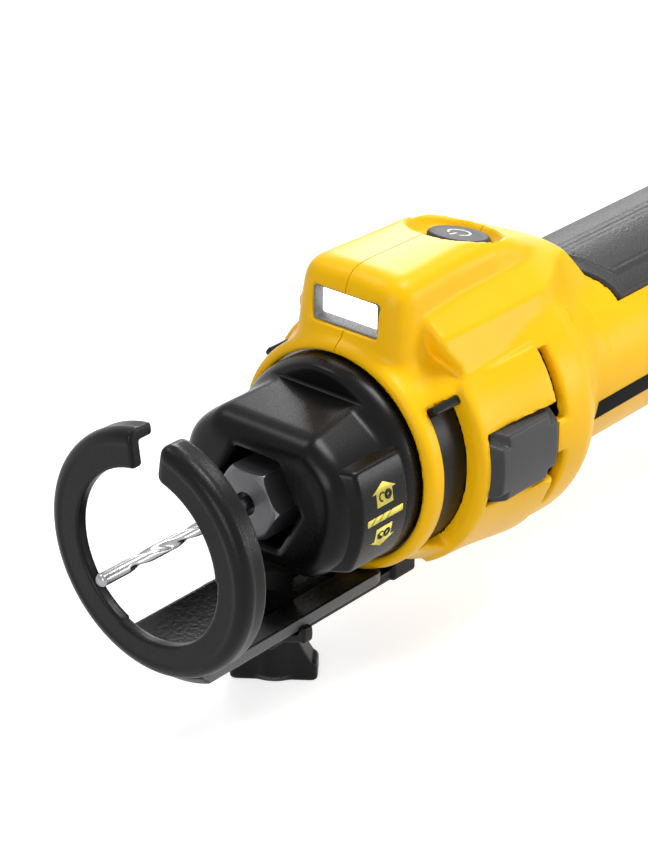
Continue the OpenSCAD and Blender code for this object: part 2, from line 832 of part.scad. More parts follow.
module cutting_bit() {
    flute_x = bit_tip + tip_len;
    color(steel) placed() union() {
        turned([[bit_tip, 0], [bit_tip + bit_r, bit_r], [flute_x, bit_r], [flute_x, 0]]);
        translate([flute_x, 0, 0]) rotate([0, 90, 0])
            linear_extrude(flute_len, twist = -360 * flute_turns, slices = flute_slices) flute_section();
        rod(flute_x + flute_len, bit_end, bit_r);
    }
}
module flute_section() {
    intersection() {
        circle(bit_r, $fn = 14);
        union() {
            circle(bit_r * flute_core_share, $fn = 10);
            square([2 * bit_d, bit_r * flute_core_share], center = true);
        }
    }
}

// Lock collar
module lock_collar() {
    socket = nut_af / 2 + socket_gap;
    corner_r = collar_flat / cos(30) - collar_ease;
    color(black) placed() difference() {
        union() {
            intersection() {
                hexagon(-collar_len, collar_step + cut, collar_flat);
                turned(concat([[-collar_len, 0]],
                    arc(-collar_len + collar_round, corner_r - collar_round, collar_round, 180, 90, 6),
                    [[collar_step + cut, corner_r], [collar_step + cut, 0]]));
            }
            rod(collar_step, mouth_depth - gap, collar_r);
        }
        rod(flange_x - cut, mouth_depth + cut, boss_r + slip);
        rod(-collar_len - cut, flange_x, boss_r - clip_sink - cut);
        rod(boss_x - gap, flange_x, boss_r + clip_stand + gap);
        hexagon(-collar_len - cut, flange_x, socket);
    }
}
module collar_pad_form() {
    color(dark_grey) placed() difference() {
        tube_sector(collar_step - pad_len, collar_step, collar_flat, pad_r, -pad_half_deg, pad_half_deg);
        hexagon(-collar_len, 0, collar_flat);
    }
}
module left_collar_pad() { collar_pad_form(); }
module right_collar_pad() { mirror([0, 1, 0]) collar_pad_form(); }

// Depth guide
module guide_foot() {
    x1 = guide_face + foot_t;
    plate_x = guide_face + foot_plate_t;
    rim_r = foot_r - foot_rim_t;
    color(black) placed() difference() {
        turned(concat(
            arc(guide_face + foot_bore_round, foot_bore_r + foot_bore_round, foot_bore_round, 270, 180, 4),
            arc(guide_face + foot_round, foot_r - foot_round, foot_round, 180, 90, 6),
            [[x1, foot_r], [x1, rim_r], [plate_x, rim_r], [plate_x, foot_bore_r]]));
        wedge(guide_face - cut, x1 + cut, foot_r + cut, foot_gap_deg[0], foot_gap_deg[1]);
        rivets(0);
    }
}
module rivets(head) {
    for (s = [-1, 1]) translate([arm_front + lip_len / 2, s * rivet_y, rivet_z]) {
        cylinder(h = rivet_up, r = rivet_r);
        translate([0, 0, -rivet_head_t]) cylinder(h = rivet_head_t, r = head > 0 ? rivet_head_r : rivet_r);
    }
}
module foot_rivets() { color(steel) placed() rivets(1); }
module arm_outline() {
    x0 = arm_front;
    x1 = arm_rear;
    translate([x0, -arm_half]) square([x1 - arm_round - x0, 2 * arm_half]);
    translate([x1 - arm_round - cut, -arm_half + arm_round])
        square([arm_round + cut, 2 * (arm_half - arm_round)]);
    for (s = [-1, 1]) translate([x1 - arm_round, s * (arm_half - arm_round)]) circle(arm_round);
}
module guide_arm() {
    color(dark_steel) placed() difference() {
        intersection() {
            tube(arm_front, arm_rear, foot_r, arm_outer_r);
            translate([0, 0, arm_z - cut]) linear_extrude(foot_r) arm_outline();
        }
        for (x = [bolt_x - slide_back, bolt_x + slide_out])
            translate([x, 0, arm_z - cut]) cylinder(h = 2 * arm_t, r = slot_r);
        block(bolt_x - slide_back, bolt_x + slide_out, slot_r, arm_z - cut, arm_top + arm_t);
        rivets(1);
    }
}
module guide_bracket() {
    color(black) placed() difference() {
        union() {
            block(tongue_front, base_x + cut, tongue_half, tongue_z, tongue_top);
            block(ear_x, ear_x + ear_len, arm_half + gap + ear_t, tongue_z, tongue_top);
            both_sides() translate([ear_x, arm_half + gap, tongue_z])
                cube([ear_len, ear_t, ear_top - tongue_z]);
            difference() {
                block(base_x, base_x + base_len, base_half, base_z, -sleeve_r);
                barrel_outer();
            }
        }
        translate([bolt_x, 0, tongue_z - cut]) cylinder(h = tongue_t + 2 * cut, r = bolt_r);
        base_screw_holes();
    }
}
module base_screw(head_r) {
    for (s = [-1, 1])
        translate([base_x + base_len / 2, s * base_screw_y, base_z]) {
            cylinder(h = base_screw_up, r = screw_r);
            cylinder(h = screw_head_t, r = head_r);
        }
}
module base_screw_holes() { base_screw(screw_head_r); }
module bracket_screws() { color(dark_steel) placed() base_screw(screw_head_r); }
module clamp_bolt() {
    color(black) placed() translate([bolt_x, 0, 0]) {
        translate([0, 0, bolt_head_z]) cylinder(h = bolt_head_t, r = bolt_head_r);
        translate([0, 0, bolt_end]) cylinder(h = bolt_head_z + cut - bolt_end, r = bolt_r);
    }
}
module at_knob() { translate([bolt_x, 0, knob_z]) rotate([0, 0, knob_angle]) children(); }
module wing_knob() {
    reach = knob_span / 2 - knob_wing_w / 2;
    high = knob_top - knob_z;
    color(black) placed() at_knob() difference() {
        union() {
            cylinder(h = high, r = knob_hub_r);
            for (s = [-1, 1]) translate([s * reach, 0, 0]) cylinder(h = knob_wing_h, r = knob_wing_w / 2);
            translate([-reach, -knob_wing_w / 2, 0]) cube([2 * reach, knob_wing_w, knob_wing_h]);
            intersection() {
                cylinder(h = high, r1 = knob_span / 2 + knob_wing_h, r2 = knob_hub_r);
                translate([-reach, -knob_wing_w / 2, 0]) cube([2 * reach, knob_wing_w, high]);
            }
        }
        translate([0, 0, knob_floor]) cylinder(h = high, r = insert_r);
    }
}
module knob_insert() {
    color(brass) placed() at_knob() translate([0, 0, knob_floor]) difference() {
        cylinder(h = knob_top - knob_z - knob_floor, r = insert_r);
        translate([0, 0, -cut]) cylinder(h = knob_top - knob_z + cut, r = bolt_r + slip);
    }
}

left_housing();
right_housing();
rubber_grip();
housing_screws();
left_badge();
right_badge();
lamp_lens();
lamp_reflector();
lamp_board();
lamp_chips();
switch_plate();
switch_body();
motor_sleeve();
front_bearing_plate();
rear_bearing_plate();
stator_core();
stator_windings();
sensor_board();
front_bearing_outer();
front_bearing_balls();
rear_bearing_outer();
rear_bearing_balls();
motor_leads();
controller_tray();
controller_board();
battery_leads();
terminal_block();
terminal_blades();
collar_clip();
guide_bracket();
bracket_screws();
clamp_bolt();
spindle_shaft();
rotor_core();
rotor_magnets();
cooling_fan();
front_bearing_inner();
rear_bearing_inner();
collet();
collet_nut();
cutting_bit();
lock_collar();
left_collar_pad();
right_collar_pad();
power_button();
guide_foot();
guide_arm();
foot_rivets();
wing_knob();
knob_insert();
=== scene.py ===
"""Looks of a cordless drywall cut out tool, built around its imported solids.

Moulded pieces are written as distance fields in millimetres and turned into meshes. Their
stations x run from the front edge of the housing to the rear, y is negative on the tool's left
side, and z is the height over the spindle axis.
"""
import math

import bmesh
import bpy
import numpy as np
from mathutils import Matrix, Vector


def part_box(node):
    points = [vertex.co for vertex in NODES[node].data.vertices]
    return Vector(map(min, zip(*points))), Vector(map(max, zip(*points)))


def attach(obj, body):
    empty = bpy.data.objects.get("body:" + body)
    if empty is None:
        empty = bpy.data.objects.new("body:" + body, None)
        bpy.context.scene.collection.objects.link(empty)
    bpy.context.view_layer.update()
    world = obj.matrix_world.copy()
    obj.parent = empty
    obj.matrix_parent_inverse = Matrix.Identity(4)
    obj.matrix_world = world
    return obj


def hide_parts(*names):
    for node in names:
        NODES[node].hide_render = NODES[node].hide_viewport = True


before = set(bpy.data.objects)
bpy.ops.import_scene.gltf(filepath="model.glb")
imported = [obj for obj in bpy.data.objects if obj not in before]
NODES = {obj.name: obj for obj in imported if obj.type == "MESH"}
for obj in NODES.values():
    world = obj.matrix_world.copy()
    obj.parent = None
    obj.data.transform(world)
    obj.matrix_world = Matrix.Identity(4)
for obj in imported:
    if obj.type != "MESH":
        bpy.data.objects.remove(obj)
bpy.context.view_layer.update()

MM = 0.001
FRONT_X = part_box("left_housing")[0].x
AXIS_Z = sum(corner.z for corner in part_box("collet_nut")) / 2
VOXEL = 0.86     # mesh step of the casing
FINE = 0.4       # mesh step of the other moulded pieces
SIDES = (("left", -1), ("right", 1))


def station(node, corner, axis):
    """A corner of a CAD node in millimetres, measured as the stations are."""
    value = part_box(node)[corner][axis]
    return (value - (FRONT_X, 0.0, AXIS_Z)[axis]) / MM


def to_row(points):
    """Millimetre stations to metres in the part's frame."""
    return np.asarray(points, float) * MM + np.array([FRONT_X, 0.0, AXIS_Z])


# Sizes read from the solids
COLLAR_FRONT, COLLAR_REAR = station("lock_collar", 0, 0), station("lock_collar", 1, 0)
COLLAR_R = station("lock_collar", 1, 1)
PAD_FRONT, PAD_REAR = station("left_collar_pad", 0, 0), station("left_collar_pad", 1, 0)
HUMP_TOP = station("left_housing", 1, 2)
FLOOR_Z = station("left_housing", 0, 2)
DOCK_REAR = station("left_housing", 1, 0)
DOCK_HALF = -station("left_housing", 0, 1)
SLEEVE_R = station("motor_sleeve", 1, 1)
SLEEVE_FRONT, SLEEVE_REAR = station("motor_sleeve", 0, 0), station("motor_sleeve", 1, 0)
LENS_X = station("lamp_lens", 0, 0) + 1.2
LAMP_END = station("lamp_board", 1, 0)
FOOT_FACE, FOOT_REAR = station("guide_foot", 0, 0), station("guide_foot", 1, 0)
FOOT_R = station("guide_foot", 1, 1)
ARM_FRONT, ARM_REAR = station("guide_arm", 0, 0), station("guide_arm", 1, 0)
ARM_HALF, ARM_T = station("guide_arm", 1, 1), -station("guide_arm", 0, 2) - FOOT_R
BOLT_X = (station("clamp_bolt", 0, 0) + station("clamp_bolt", 1, 0)) / 2
KNOB_TOP = station("wing_knob", 1, 2)
BIT_TIP, BIT_END = station("cutting_bit", 0, 0), station("cutting_bit", 1, 0)
BIT_R = station("cutting_bit", 1, 1)
GRIP_FRONT, GRIP_REAR = station("rubber_grip", 0, 0), station("rubber_grip", 1, 0)
BADGE_FRONT, BADGE_REAR = station("left_badge", 0, 0), station("left_badge", 1, 0)
BLOCK_HALF, BLOCK_HIGH = station("terminal_block", 1, 1), station("terminal_block", 1, 2)
POCKET_X = station("terminal_block", 0, 0) + 3.0

# Chosen sizes of the pads, the guide's ring and its bracket
PAD_FACE_R = 27.5
PAD_LOW, PAD_HIGH, RIGHT_PAD_HIGH = -36.0, 30.0, 9.0     # angles of the pads' ends
RIGHT_PAD_DROP = -4.8                    # the right pad's marks sit lower
FOOT_BORE, FOOT_PLATE, FOOT_RIM = 21.4, 3.2, 3.0
EAR_X, EAR_TOP = -30.0, -28.9

# Casing
FRONT_R, BAND_R, BARREL_R = 30.2, 33.4, 36.8
MOUTH_R = COLLAR_R + 0.4
SLOT_X, BAND_X = 5.7, 15.1               # front and rear edge of the side vents
VENT_LOW, VENT_TOP, VENT_DEPTH_R = -43.0, 37.0, 27.5
REAR_SLOT, REAR_SLOT_ARCS = (42.8, 46.4), ((8.0, 38.0), (-34.0, -6.0))
BARREL_PEAK, NECK_X = 54.0, 77.2
DOME = 0.006                             # how fast the top of the hump falls to its sides
HANDLE_R, HANDLE_DROP = 26.0, 2.0
CAVITY_R, CAVITY_X = 22.5, 65.0
DOCK_X, DOCK_TOP, DOCK_ROUND = DOCK_REAR - 34.0, 36.0, 8.0
POCKET_HALF, RAIL_HALF, POCKET_TOP = 29.0, 24.0, 30.0
STRAP_RISE, STRAP_ARC, STRAP_REAR = 1.1, (-62.0, 41.0), 42.6
WALL, BARREL_WALL = 3.0, 3.2
SEAM = 0.14                              # half the gap between the two casing halves
GRIP_IN = HANDLE_R - 2.0
GRIP_EDGE, PAST_TOP = 44.0, 91.0         # angles from the grip's side edge to just past the top
ARM_SEAT_ARC = 29.0
BADGE_R, BADGE_ARC = 37.1, 16.5
BUTTON = Vector((47.5, 0.0, 42.0))
BUTTON_TILT = math.radians(11.0)
BUTTON_R = 8.0
SCREWS = [(90, 8), (132, 8), (180, 8), (90, -17), (180, -17), (208, 24), (208, -39)]
SCREW_HEAD_R, SCREW_SEAT_Y = 3.15, 6.0
WINDOW_HALF, WINDOW_LOW, WINDOW_HIGH = 10.1, 32.6, 41.5
STRIPE_ARC, STRIPE_REAR, STRIPE_T = (-17.5, -5.5), 178.0, 0.14


# Distance fields
def smooth_min(a, b, k):
    h = np.clip(0.5 + 0.5 * (b - a) / k, 0.0, 1.0)
    return b + (a - b) * h - k * h * (1.0 - h)


def smooth_max(a, b, k):
    return -smooth_min(-a, -b, k)


def carve(body, tool, k):
    return smooth_max(body, -tool, k)


def between(value, low, high):
    return np.maximum(low - value, value - high)


def ease(t):
    return (1.0 - np.cos(np.pi * np.clip(t, 0.0, 1.0))) / 2.0


def box_field(x, y, z, low, high, r=0.6):
    q = [np.abs(v - (a + b) / 2) - ((b - a) / 2 - r) for v, a, b in zip((x, y, z), low, high)]
    outside = np.sqrt(sum(np.maximum(v, 0.0) ** 2 for v in q))
    return outside + np.minimum(np.maximum(np.maximum(q[0], q[1]), q[2]), 0.0) - r


def side_angle(y, z):
    """Degrees above the horizontal, on either side."""
    return np.degrees(np.arctan2(z, np.abs(y)))


def arc_between(radius, angle, low, high):
    """Distance to a range of angles, along the arc."""
    return between(angle, low, high) * radius * math.pi / 180.0


def hexagon_field(y, z, flat, k):
    c, s = math.cos(math.pi / 6), math.sin(math.pi / 6)
    sides = smooth_max(np.abs(c * y + s * z), np.abs(c * y - s * z), k)
    return smooth_max(np.abs(z), sides, k) - flat


def button_frame(x, z):
    """Along and over the tilted seat of the power button."""
    dx, dz = x - BUTTON.x, z - BUTTON.z
    c, s = math.cos(BUTTON_TILT), math.sin(BUTTON_TILT)
    return dx * c - dz * s, dx * s + dz * c


def barrel_radius(x):
    rise = FRONT_R + (BAND_R - FRONT_R) * ease((x - SLOT_X) / (BAND_X - SLOT_X + 3.0))
    swell = (BARREL_R - BAND_R) * ease((x - BAND_X) / (BARREL_PEAK - BAND_X))
    fall = (BARREL_R - HANDLE_R + HANDLE_DROP) * ease((x - BARREL_PEAK) / (NECK_X - BARREL_PEAK))
    return rise + swell - fall


def lamp_field(x, y, z):
    """Lamp housing on the front of the hump, narrower towards the top and the rear."""
    foot_z, rear_x, top_round, front_round = 12.0, 44.0, 5.0, 7.5
    taper, taper_x, taper_length = 1.5, 10.0, 26.0
    half = np.interp(z, [foot_z, 24.0, 36.0, HUMP_TOP], [18.4, 17.5, 16.8, 15.4])
    half = half - taper * ease((x - taper_x) / taper_length)
    face = np.interp(z, [24.0, 41.0], [2.4, 4.0])
    body = smooth_max(np.abs(y) - half, z - HUMP_TOP + DOME * y * y, top_round)
    body = smooth_max(body, face - x, front_round)
    return np.maximum(np.maximum(body, x - rear_x), foot_z - z)


def shoulder_field(x, y, z):
    """Crest of the hump, and below it on each side a sloping panel and the flank under it."""
    crease_z, flank_z, foot_z, front_x = 37.6, 32.6, 10.0, 12.0
    wall_y, panel_y, flank_y, crisp = 15.6, 16.3, 22.4, 0.6
    side = np.abs(y)
    narrow = 13.0 * ease((x - 50.0) / 34.0)
    level, slope = HUMP_TOP - 0.8, 43.6 - 0.45 * (x - 56.0)
    crest = smooth_min(level, slope, 1.6) - DOME * y * y - 9.0 * ease((x - 78.0) / 14.0)
    wall = 0.978 * (side + 0.8 * narrow - wall_y) + 0.208 * (z - crease_z)
    panel = 0.630 * (side + narrow - panel_y) + 0.777 * (z - crease_z)
    flank = 0.936 * (side + narrow - flank_y) + 0.352 * (z - flank_z)
    upper = smooth_max(wall, z - crest, 4.0)
    lower = smooth_max(smooth_max(panel, flank, crisp), z - crest, 3.0)
    slant = 12.8 + 4.2 * ease((32.0 - z) / 9.0)
    lower = smooth_max(lower, slant - x, 2.0)
    return np.maximum(smooth_min(upper, lower, crisp), np.maximum(foot_z - z, front_x - x))


def grip_front(angle):
    """Front edge of the grip, which runs forward towards the top."""
    return GRIP_FRONT - 8.0 * ease((angle - GRIP_EDGE - 4.0) / 42.0)


def casing_outside(x, y, z):
    """Barrel, straps, hump, handle and dock, blended into one body."""
    radius, handle_radius = np.hypot(y, z), np.hypot(y, z + HANDLE_DROP)
    skin = radius - barrel_radius(x)
    body = np.maximum(smooth_max(skin, -x, 3.0), x - NECK_X - 2.0)
    strap = smooth_max(skin - STRAP_RISE, arc_between(radius, side_angle(y, z), *STRAP_ARC), 1.0)
    strap = smooth_max(strap, between(x, BAND_X + 0.2, STRAP_REAR), 1.0)
    body = smooth_min(body, strap, 0.7)
    body = smooth_min(body, lamp_field(x, y, z), 2.2)
    body = smooth_min(body, shoulder_field(x, y, z), 1.2)
    handle = np.maximum(handle_radius - HANDLE_R, between(x, BARREL_PEAK, DOCK_X + 4.0))
    body = smooth_min(body, handle, 2.6)
    low, high = (DOCK_X, -DOCK_HALF, FLOOR_Z), (DOCK_REAR, DOCK_HALF, DOCK_TOP)
    return smooth_min(body, box_field(x, y, z, low, high, DOCK_ROUND), 15.0)


def cut_button_seat(body, x, y, z):
    """Scoop and well of the power button."""
    scoop_r, scoop_shift, scoop_flare, gap, under_gap = 10.8, 2.2, 0.45, 0.35, 1.5
    along, over = button_frame(x, z)
    off = np.hypot(along, y) - BUTTON_R
    scoop = np.hypot(along + scoop_shift, y) - scoop_r - scoop_flare * over
    body = carve(body, smooth_max(scoop, -over, 2.0), 1.2)
    well = np.maximum(off - gap, between(over, -5.0, 2.0))
    under = np.maximum(off - under_gap, between(over, -14.0, -4.0))
    return carve(body, np.minimum(well, under), 0.5)


def cut_openings(body, x, y, z):
    """Side vents, rear slots, badge seats and the lamp window."""
    radius, angle = np.hypot(y, z), side_angle(y, z)
    vent = smooth_max(between(x, SLOT_X, BAND_X), arc_between(radius, angle, VENT_LOW, VENT_TOP), 0.8)
    body = carve(body, np.maximum(vent, VENT_DEPTH_R - radius), 0.9)
    for arc in REAR_SLOT_ARCS:
        slot = smooth_max(between(x, *REAR_SLOT), arc_between(radius, angle, *arc), 0.6)
        body = carve(body, np.maximum(slot, VENT_DEPTH_R - radius), 0.7)
    seat = np.maximum(between(x, BADGE_FRONT - 0.3, BADGE_REAR + 0.3),
                      arc_between(radius, angle, -BADGE_ARC, BADGE_ARC))
    body = carve(body, np.maximum(seat, BAND_R - 0.9 - radius), 0.4)
    low, high = (-9, -WINDOW_HALF, WINDOW_LOW), (LAMP_END + 1, WINDOW_HALF, WINDOW_HIGH)
    return carve(body, box_field(x, y, z, low, high, 0.8), 0.8)


def cut_seats(body, x, y, z):
    """Seats of the grip, the guide arm and the screws."""
    radius, low_z = np.hypot(y, z), z + HANDLE_DROP
    handle_radius, grip_angle = np.hypot(y, low_z), side_angle(y, low_z)
    grip = arc_between(handle_radius, grip_angle, GRIP_EDGE, PAST_TOP)
    grip = np.maximum(grip, GRIP_IN - handle_radius)
    body = carve(body, np.maximum(grip, between(x, grip_front(grip_angle), GRIP_REAR)), 0.4)
    below = arc_between(radius, np.degrees(np.arctan2(np.abs(y), -z)), -1.0, ARM_SEAT_ARC)
    arm = np.maximum(np.maximum(below, FOOT_R - 0.4 - radius), x - BAND_X - 1.0)
    body = carve(body, arm, 0.5)
    for screw_x, screw_z in SCREWS:
        head = np.hypot(x - screw_x, z - screw_z) - SCREW_HEAD_R
        body = carve(body, np.maximum(head, SCREW_SEAT_Y - y), 0.5)
    return body


def cut_battery_pocket(body, x, y, z):
    """Pocket for the battery, open below and to the rear, and the opening for its terminals."""
    below, rear = -90.0, DOCK_REAR + 20
    low, high = (POCKET_X, -POCKET_HALF, below), (DOCK_REAR - 4.0, POCKET_HALF, POCKET_TOP)
    pocket = box_field(x, y, z, low, high)
    low, high = (POCKET_X, -RAIL_HALF, below), (rear, RAIL_HALF, POCKET_TOP)
    body = carve(body, np.minimum(pocket, box_field(x, y, z, low, high)), 0.8)
    low, high = (POCKET_X - 5, -BLOCK_HALF, -BLOCK_HIGH), (POCKET_X + 2, BLOCK_HALF, BLOCK_HIGH)
    return carve(body, box_field(x, y, z, low, high, 0.2), 0.3)


def hollow_out(body, x, y, z):
    """Motor bore, barrel wall, handle cavity, switch bay, dock room and the open mouth."""
    radius, handle_radius = np.hypot(y, z), np.hypot(y, z + HANDLE_DROP)
    motor = np.maximum(radius - SLEEVE_R - 0.1, between(x, SLEEVE_FRONT + 2.6, SLEEVE_REAR))
    relief = radius - barrel_radius(x) + BARREL_WALL
    relief = np.maximum(relief, between(x, 16.0, SLEEVE_REAR - 4.0))
    tube = np.maximum(handle_radius - CAVITY_R, between(x, CAVITY_X, DOCK_X + WALL + 1.0))
    bay = box_field(x, y, z, (LAMP_END, -10.0, 20.0), (64.6, 10.0, 35.0))
    room = box_field(x, y, z, (DOCK_X + WALL, -DOCK_HALF + WALL, FLOOR_Z + WALL),
                     (POCKET_X - WALL, DOCK_HALF - WALL, DOCK_TOP - WALL))
    for hollow in (motor, relief, tube, bay, room):
        body = carve(body, hollow, 0.4)
    mouth = np.maximum(radius - MOUTH_R, between(x, -9.0, SLEEVE_FRONT + 3.0))
    return carve(body, mouth, 1.4)


def casing_field(x, y, z):
    body = casing_outside(x, y, z)
    for cut in (cut_button_seat, cut_openings, cut_seats, cut_battery_pocket, hollow_out):
        body = cut(body, x, y, z)
    return body


def collar_field(x, y, z):
    """Faceted nose with a hexagon socket in front, and the bore and clip groove behind it."""
    nose_r, nose_x, nose_length, step_x = 25.4, -9.0, 8.0, -5.6
    socket_flat, socket_end = 11.2, -8.7
    bore_r, clip_r, clip_groove = 17.1, 18.9, (-10.4, -7.7)
    radius = np.hypot(y, z)
    grow = ease((x - nose_x) / nose_length)
    body = radius - nose_r - (COLLAR_R - nose_r) * grow
    facets = 0.545 * np.abs(y) + 0.839 * np.abs(z) - 23.3 - 4.5 * grow
    body = smooth_max(body, facets, 2.5)
    top = np.interp(x, [COLLAR_FRONT, step_x], [18.2, 20.2])
    body = carve(body, np.maximum(top - np.abs(z), x - step_x), 0.9)
    body = np.maximum(smooth_max(body, COLLAR_FRONT - x, 7.0), x - COLLAR_REAR)
    socket = np.maximum(hexagon_field(y, z, socket_flat, 0.8), x - socket_end)
    body = carve(body, socket, 2.4)
    bore = np.maximum(radius - bore_r, nose_x - x)
    clip = np.maximum(radius - clip_r, between(x, *clip_groove))
    return carve(body, np.minimum(bore, clip), 0.4)


def pad_field(x, y, z, high=PAD_HIGH):
    """Curved pad on the collar's left side, with sloping edges."""
    inner_r, flat_y, slope_r, slope_limit = 17.5, 17.6, 25.2, -2.4
    radius = np.hypot(y, z)
    angle = np.degrees(np.arctan2(z, -y))
    sides = smooth_max(arc_between(radius, angle, PAD_LOW, high),
                       between(x, PAD_FRONT + 0.3, PAD_REAR + 2.6), 1.5)
    slope = np.maximum(0.8 * (radius - slope_r), slope_limit)
    body = smooth_max(radius - PAD_FACE_R, sides + slope, 0.7)
    return np.maximum(np.maximum(body, inner_r - radius), flat_y + y)


def right_pad_field(x, y, z):
    return pad_field(x, -y, z, RIGHT_PAD_HIGH)


def foot_field(x, y, z):
    """Open ring: a thin face plate with a rim behind its outer edge."""
    wide_arc, tip_angle, gap_arc = (-113.0, 4.0), 81.0, (82.0, 97.5)
    radius, angle = np.hypot(y, z), np.degrees(np.arctan2(z, -y))
    inner = FOOT_BORE + 0.6 * (between(angle, *wide_arc) < 0)
    plate = between(x, FOOT_FACE, FOOT_FACE + FOOT_PLATE)
    plate = smooth_max(between(radius, inner, FOOT_R), plate, 0.9)
    rim = smooth_max(between(radius, FOOT_R - FOOT_RIM, FOOT_R), between(x, FOOT_FACE, FOOT_REAR), 0.9)
    body = smooth_min(plate, rim, 0.8)
    edge = 0.707 * (radius - FOOT_R + FOOT_FACE - x) + 0.8
    body = smooth_max(body, edge, 1.4)
    near_tip = np.where(angle < 90.0, arc_between(radius, angle, tip_angle, 300.0), 99.0)
    body = carve(body, near_tip, 3.0)
    return carve(body, arc_between(radius, angle, *gap_arc), 0.8)


def arm_field(x, y, z):
    """Trough under the nose, slotted for the clamp bolt."""
    corner_r, slot_half, slot_ahead, slot_behind = 6.0, 3.4, 6.0, 18.0
    side = np.abs(y)
    past_x = np.maximum(x - (ARM_REAR - corner_r), 0.0)
    past_y = np.maximum(side - (ARM_HALF - corner_r), 0.0)
    outline = np.where(np.minimum(past_x, past_y) > 0, np.hypot(past_x, past_y) - corner_r,
                       np.maximum(x - ARM_REAR, side - ARM_HALF))
    thick = ARM_T * np.clip((x - ARM_FRONT + 0.5) / 4.0, 0.0, 1.0)
    shell = between(np.hypot(y, z), FOOT_R + 0.02, FOOT_R + thick)
    body = smooth_max(smooth_max(outline, ARM_FRONT - x, 1.0), shell, 0.8)
    slot = between(x, BOLT_X - slot_ahead, BOLT_X + slot_behind)
    slot = np.hypot(np.maximum(slot, 0.0), y) - slot_half
    return np.maximum(carve(body, slot, 0.6), z + 20.0)


def bracket_field(x, y, z):
    """Tongue under the arm with a strap that hugs it, and the base on the body."""
    tongue_half, tongue_t, base_half, base_length = 8.0, 3.4, 9.0, 9.0
    ear_out, ear_length, ear_low, strap_top = 2.3, 3.4, -33.0, -24.0
    bolt_r, head_r, head_depth = 3.1, 3.05, 2.3
    side, radius = np.abs(y), np.hypot(y, z)
    tongue_z = station("guide_bracket", 0, 2)
    front, rear = station("guide_bracket", 0, 0), station("guide_bracket", 1, 0)
    across = np.maximum(side - ARM_HALF - ear_out, z - EAR_TOP)
    along = between(x, EAR_X, EAR_X + ear_length)
    strap = between(radius, FOOT_R + ARM_T + 0.3, FOOT_R + ARM_T + 2.6)
    strap = np.maximum(strap, z - strap_top)
    ear = between(side, ARM_HALF + 0.3, ARM_HALF + ear_out)
    ear = np.maximum(ear, between(z, ear_low, EAR_TOP))
    strap = smooth_max(smooth_max(smooth_min(strap, ear, 0.6), across, 0.5), along, 0.7)
    low, high = (front, -tongue_half, tongue_z), (rear, tongue_half, tongue_z + tongue_t)
    tongue = box_field(x, y, z, low, high, 1.0)
    low, high = (rear - base_length, -base_half, tongue_z), (rear, base_half, -SLEEVE_R)
    base = np.maximum(box_field(x, y, z, low, high, 1.0), barrel_radius(x) + 0.05 - radius)
    body = np.minimum(smooth_min(strap, tongue, 0.6), base)
    heads = np.hypot(x - rear + 4.5, side - 5.0) - head_r
    heads = np.maximum(heads, z - tongue_z - head_depth)
    bolt = np.hypot(x - BOLT_X, y) - bolt_r
    return carve(carve(body, bolt, 0.3), heads, 0.3)


def rivet_field(x, y, z):
    """Rivets set flush in the trough, with their round ends inside the rim."""
    rivet_x, rivet_y, rivet_r = ARM_FRONT + 2.5, 7.0, 1.2
    stem = np.hypot(x - rivet_x, np.abs(y) - rivet_y) - rivet_r
    return smooth_max(stem, between(z, -FOOT_R - 1.0, station("foot_rivets", 1, 2)), 0.8)


def badge_field(x, y, z):
    """Raised plate on the left side, with stepped corners and sloping edges."""
    half_height, notch_x, notch_v = 9.9, 3.0, 2.6
    radius = np.hypot(y, z)
    along = np.abs(x - (BADGE_FRONT + BADGE_REAR) / 2) - (BADGE_REAR - BADGE_FRONT) / 2
    across = np.abs(np.arctan2(z, -y)) * BADGE_R - half_height
    outline = np.minimum(np.maximum(along, across + notch_v), np.maximum(along + notch_x, across))
    body = smooth_max(radius - BADGE_R, outline + 0.6 * (radius - BADGE_R + 1.9), 0.6)
    return np.maximum(np.maximum(body, BAND_R - 0.8 - radius), y)


def right_badge_field(x, y, z):
    return badge_field(x, -y, z)


def knob_field(x, y, z):
    """Two straight wings that rise to the hub in the middle."""
    turn = math.radians(-52.5)
    wing_length, wing_half, hole_r, floor_t = 10.8, 3.9, 4.9, 2.0
    dx = x - BOLT_X
    along = np.abs(dx * math.cos(turn) + y * math.sin(turn))
    across = np.abs(-dx * math.sin(turn) + y * math.cos(turn))
    top = np.interp(along, [0.0, 6.2, 8.0, 9.4, 11.0], [KNOB_TOP, -39.8, -43.2, -45.6, -46.2])
    wing = smooth_max(along - wing_length, across - wing_half, 1.6)
    wing = smooth_max(wing, between(z, FLOOR_Z, top), 1.2)
    hub = np.interp(z, [FLOOR_Z, FLOOR_Z + floor_t, KNOB_TOP], [3.9, 5.6, 5.8])
    hub = smooth_max(np.hypot(dx, y) - hub, between(z, FLOOR_Z, KNOB_TOP), 1.0)
    body = np.maximum(smooth_min(wing, hub, 1.6), FLOOR_Z - z)
    hole = np.maximum(np.hypot(dx, y) - hole_r, FLOOR_Z + floor_t - z)
    return carve(body, hole, 0.3)


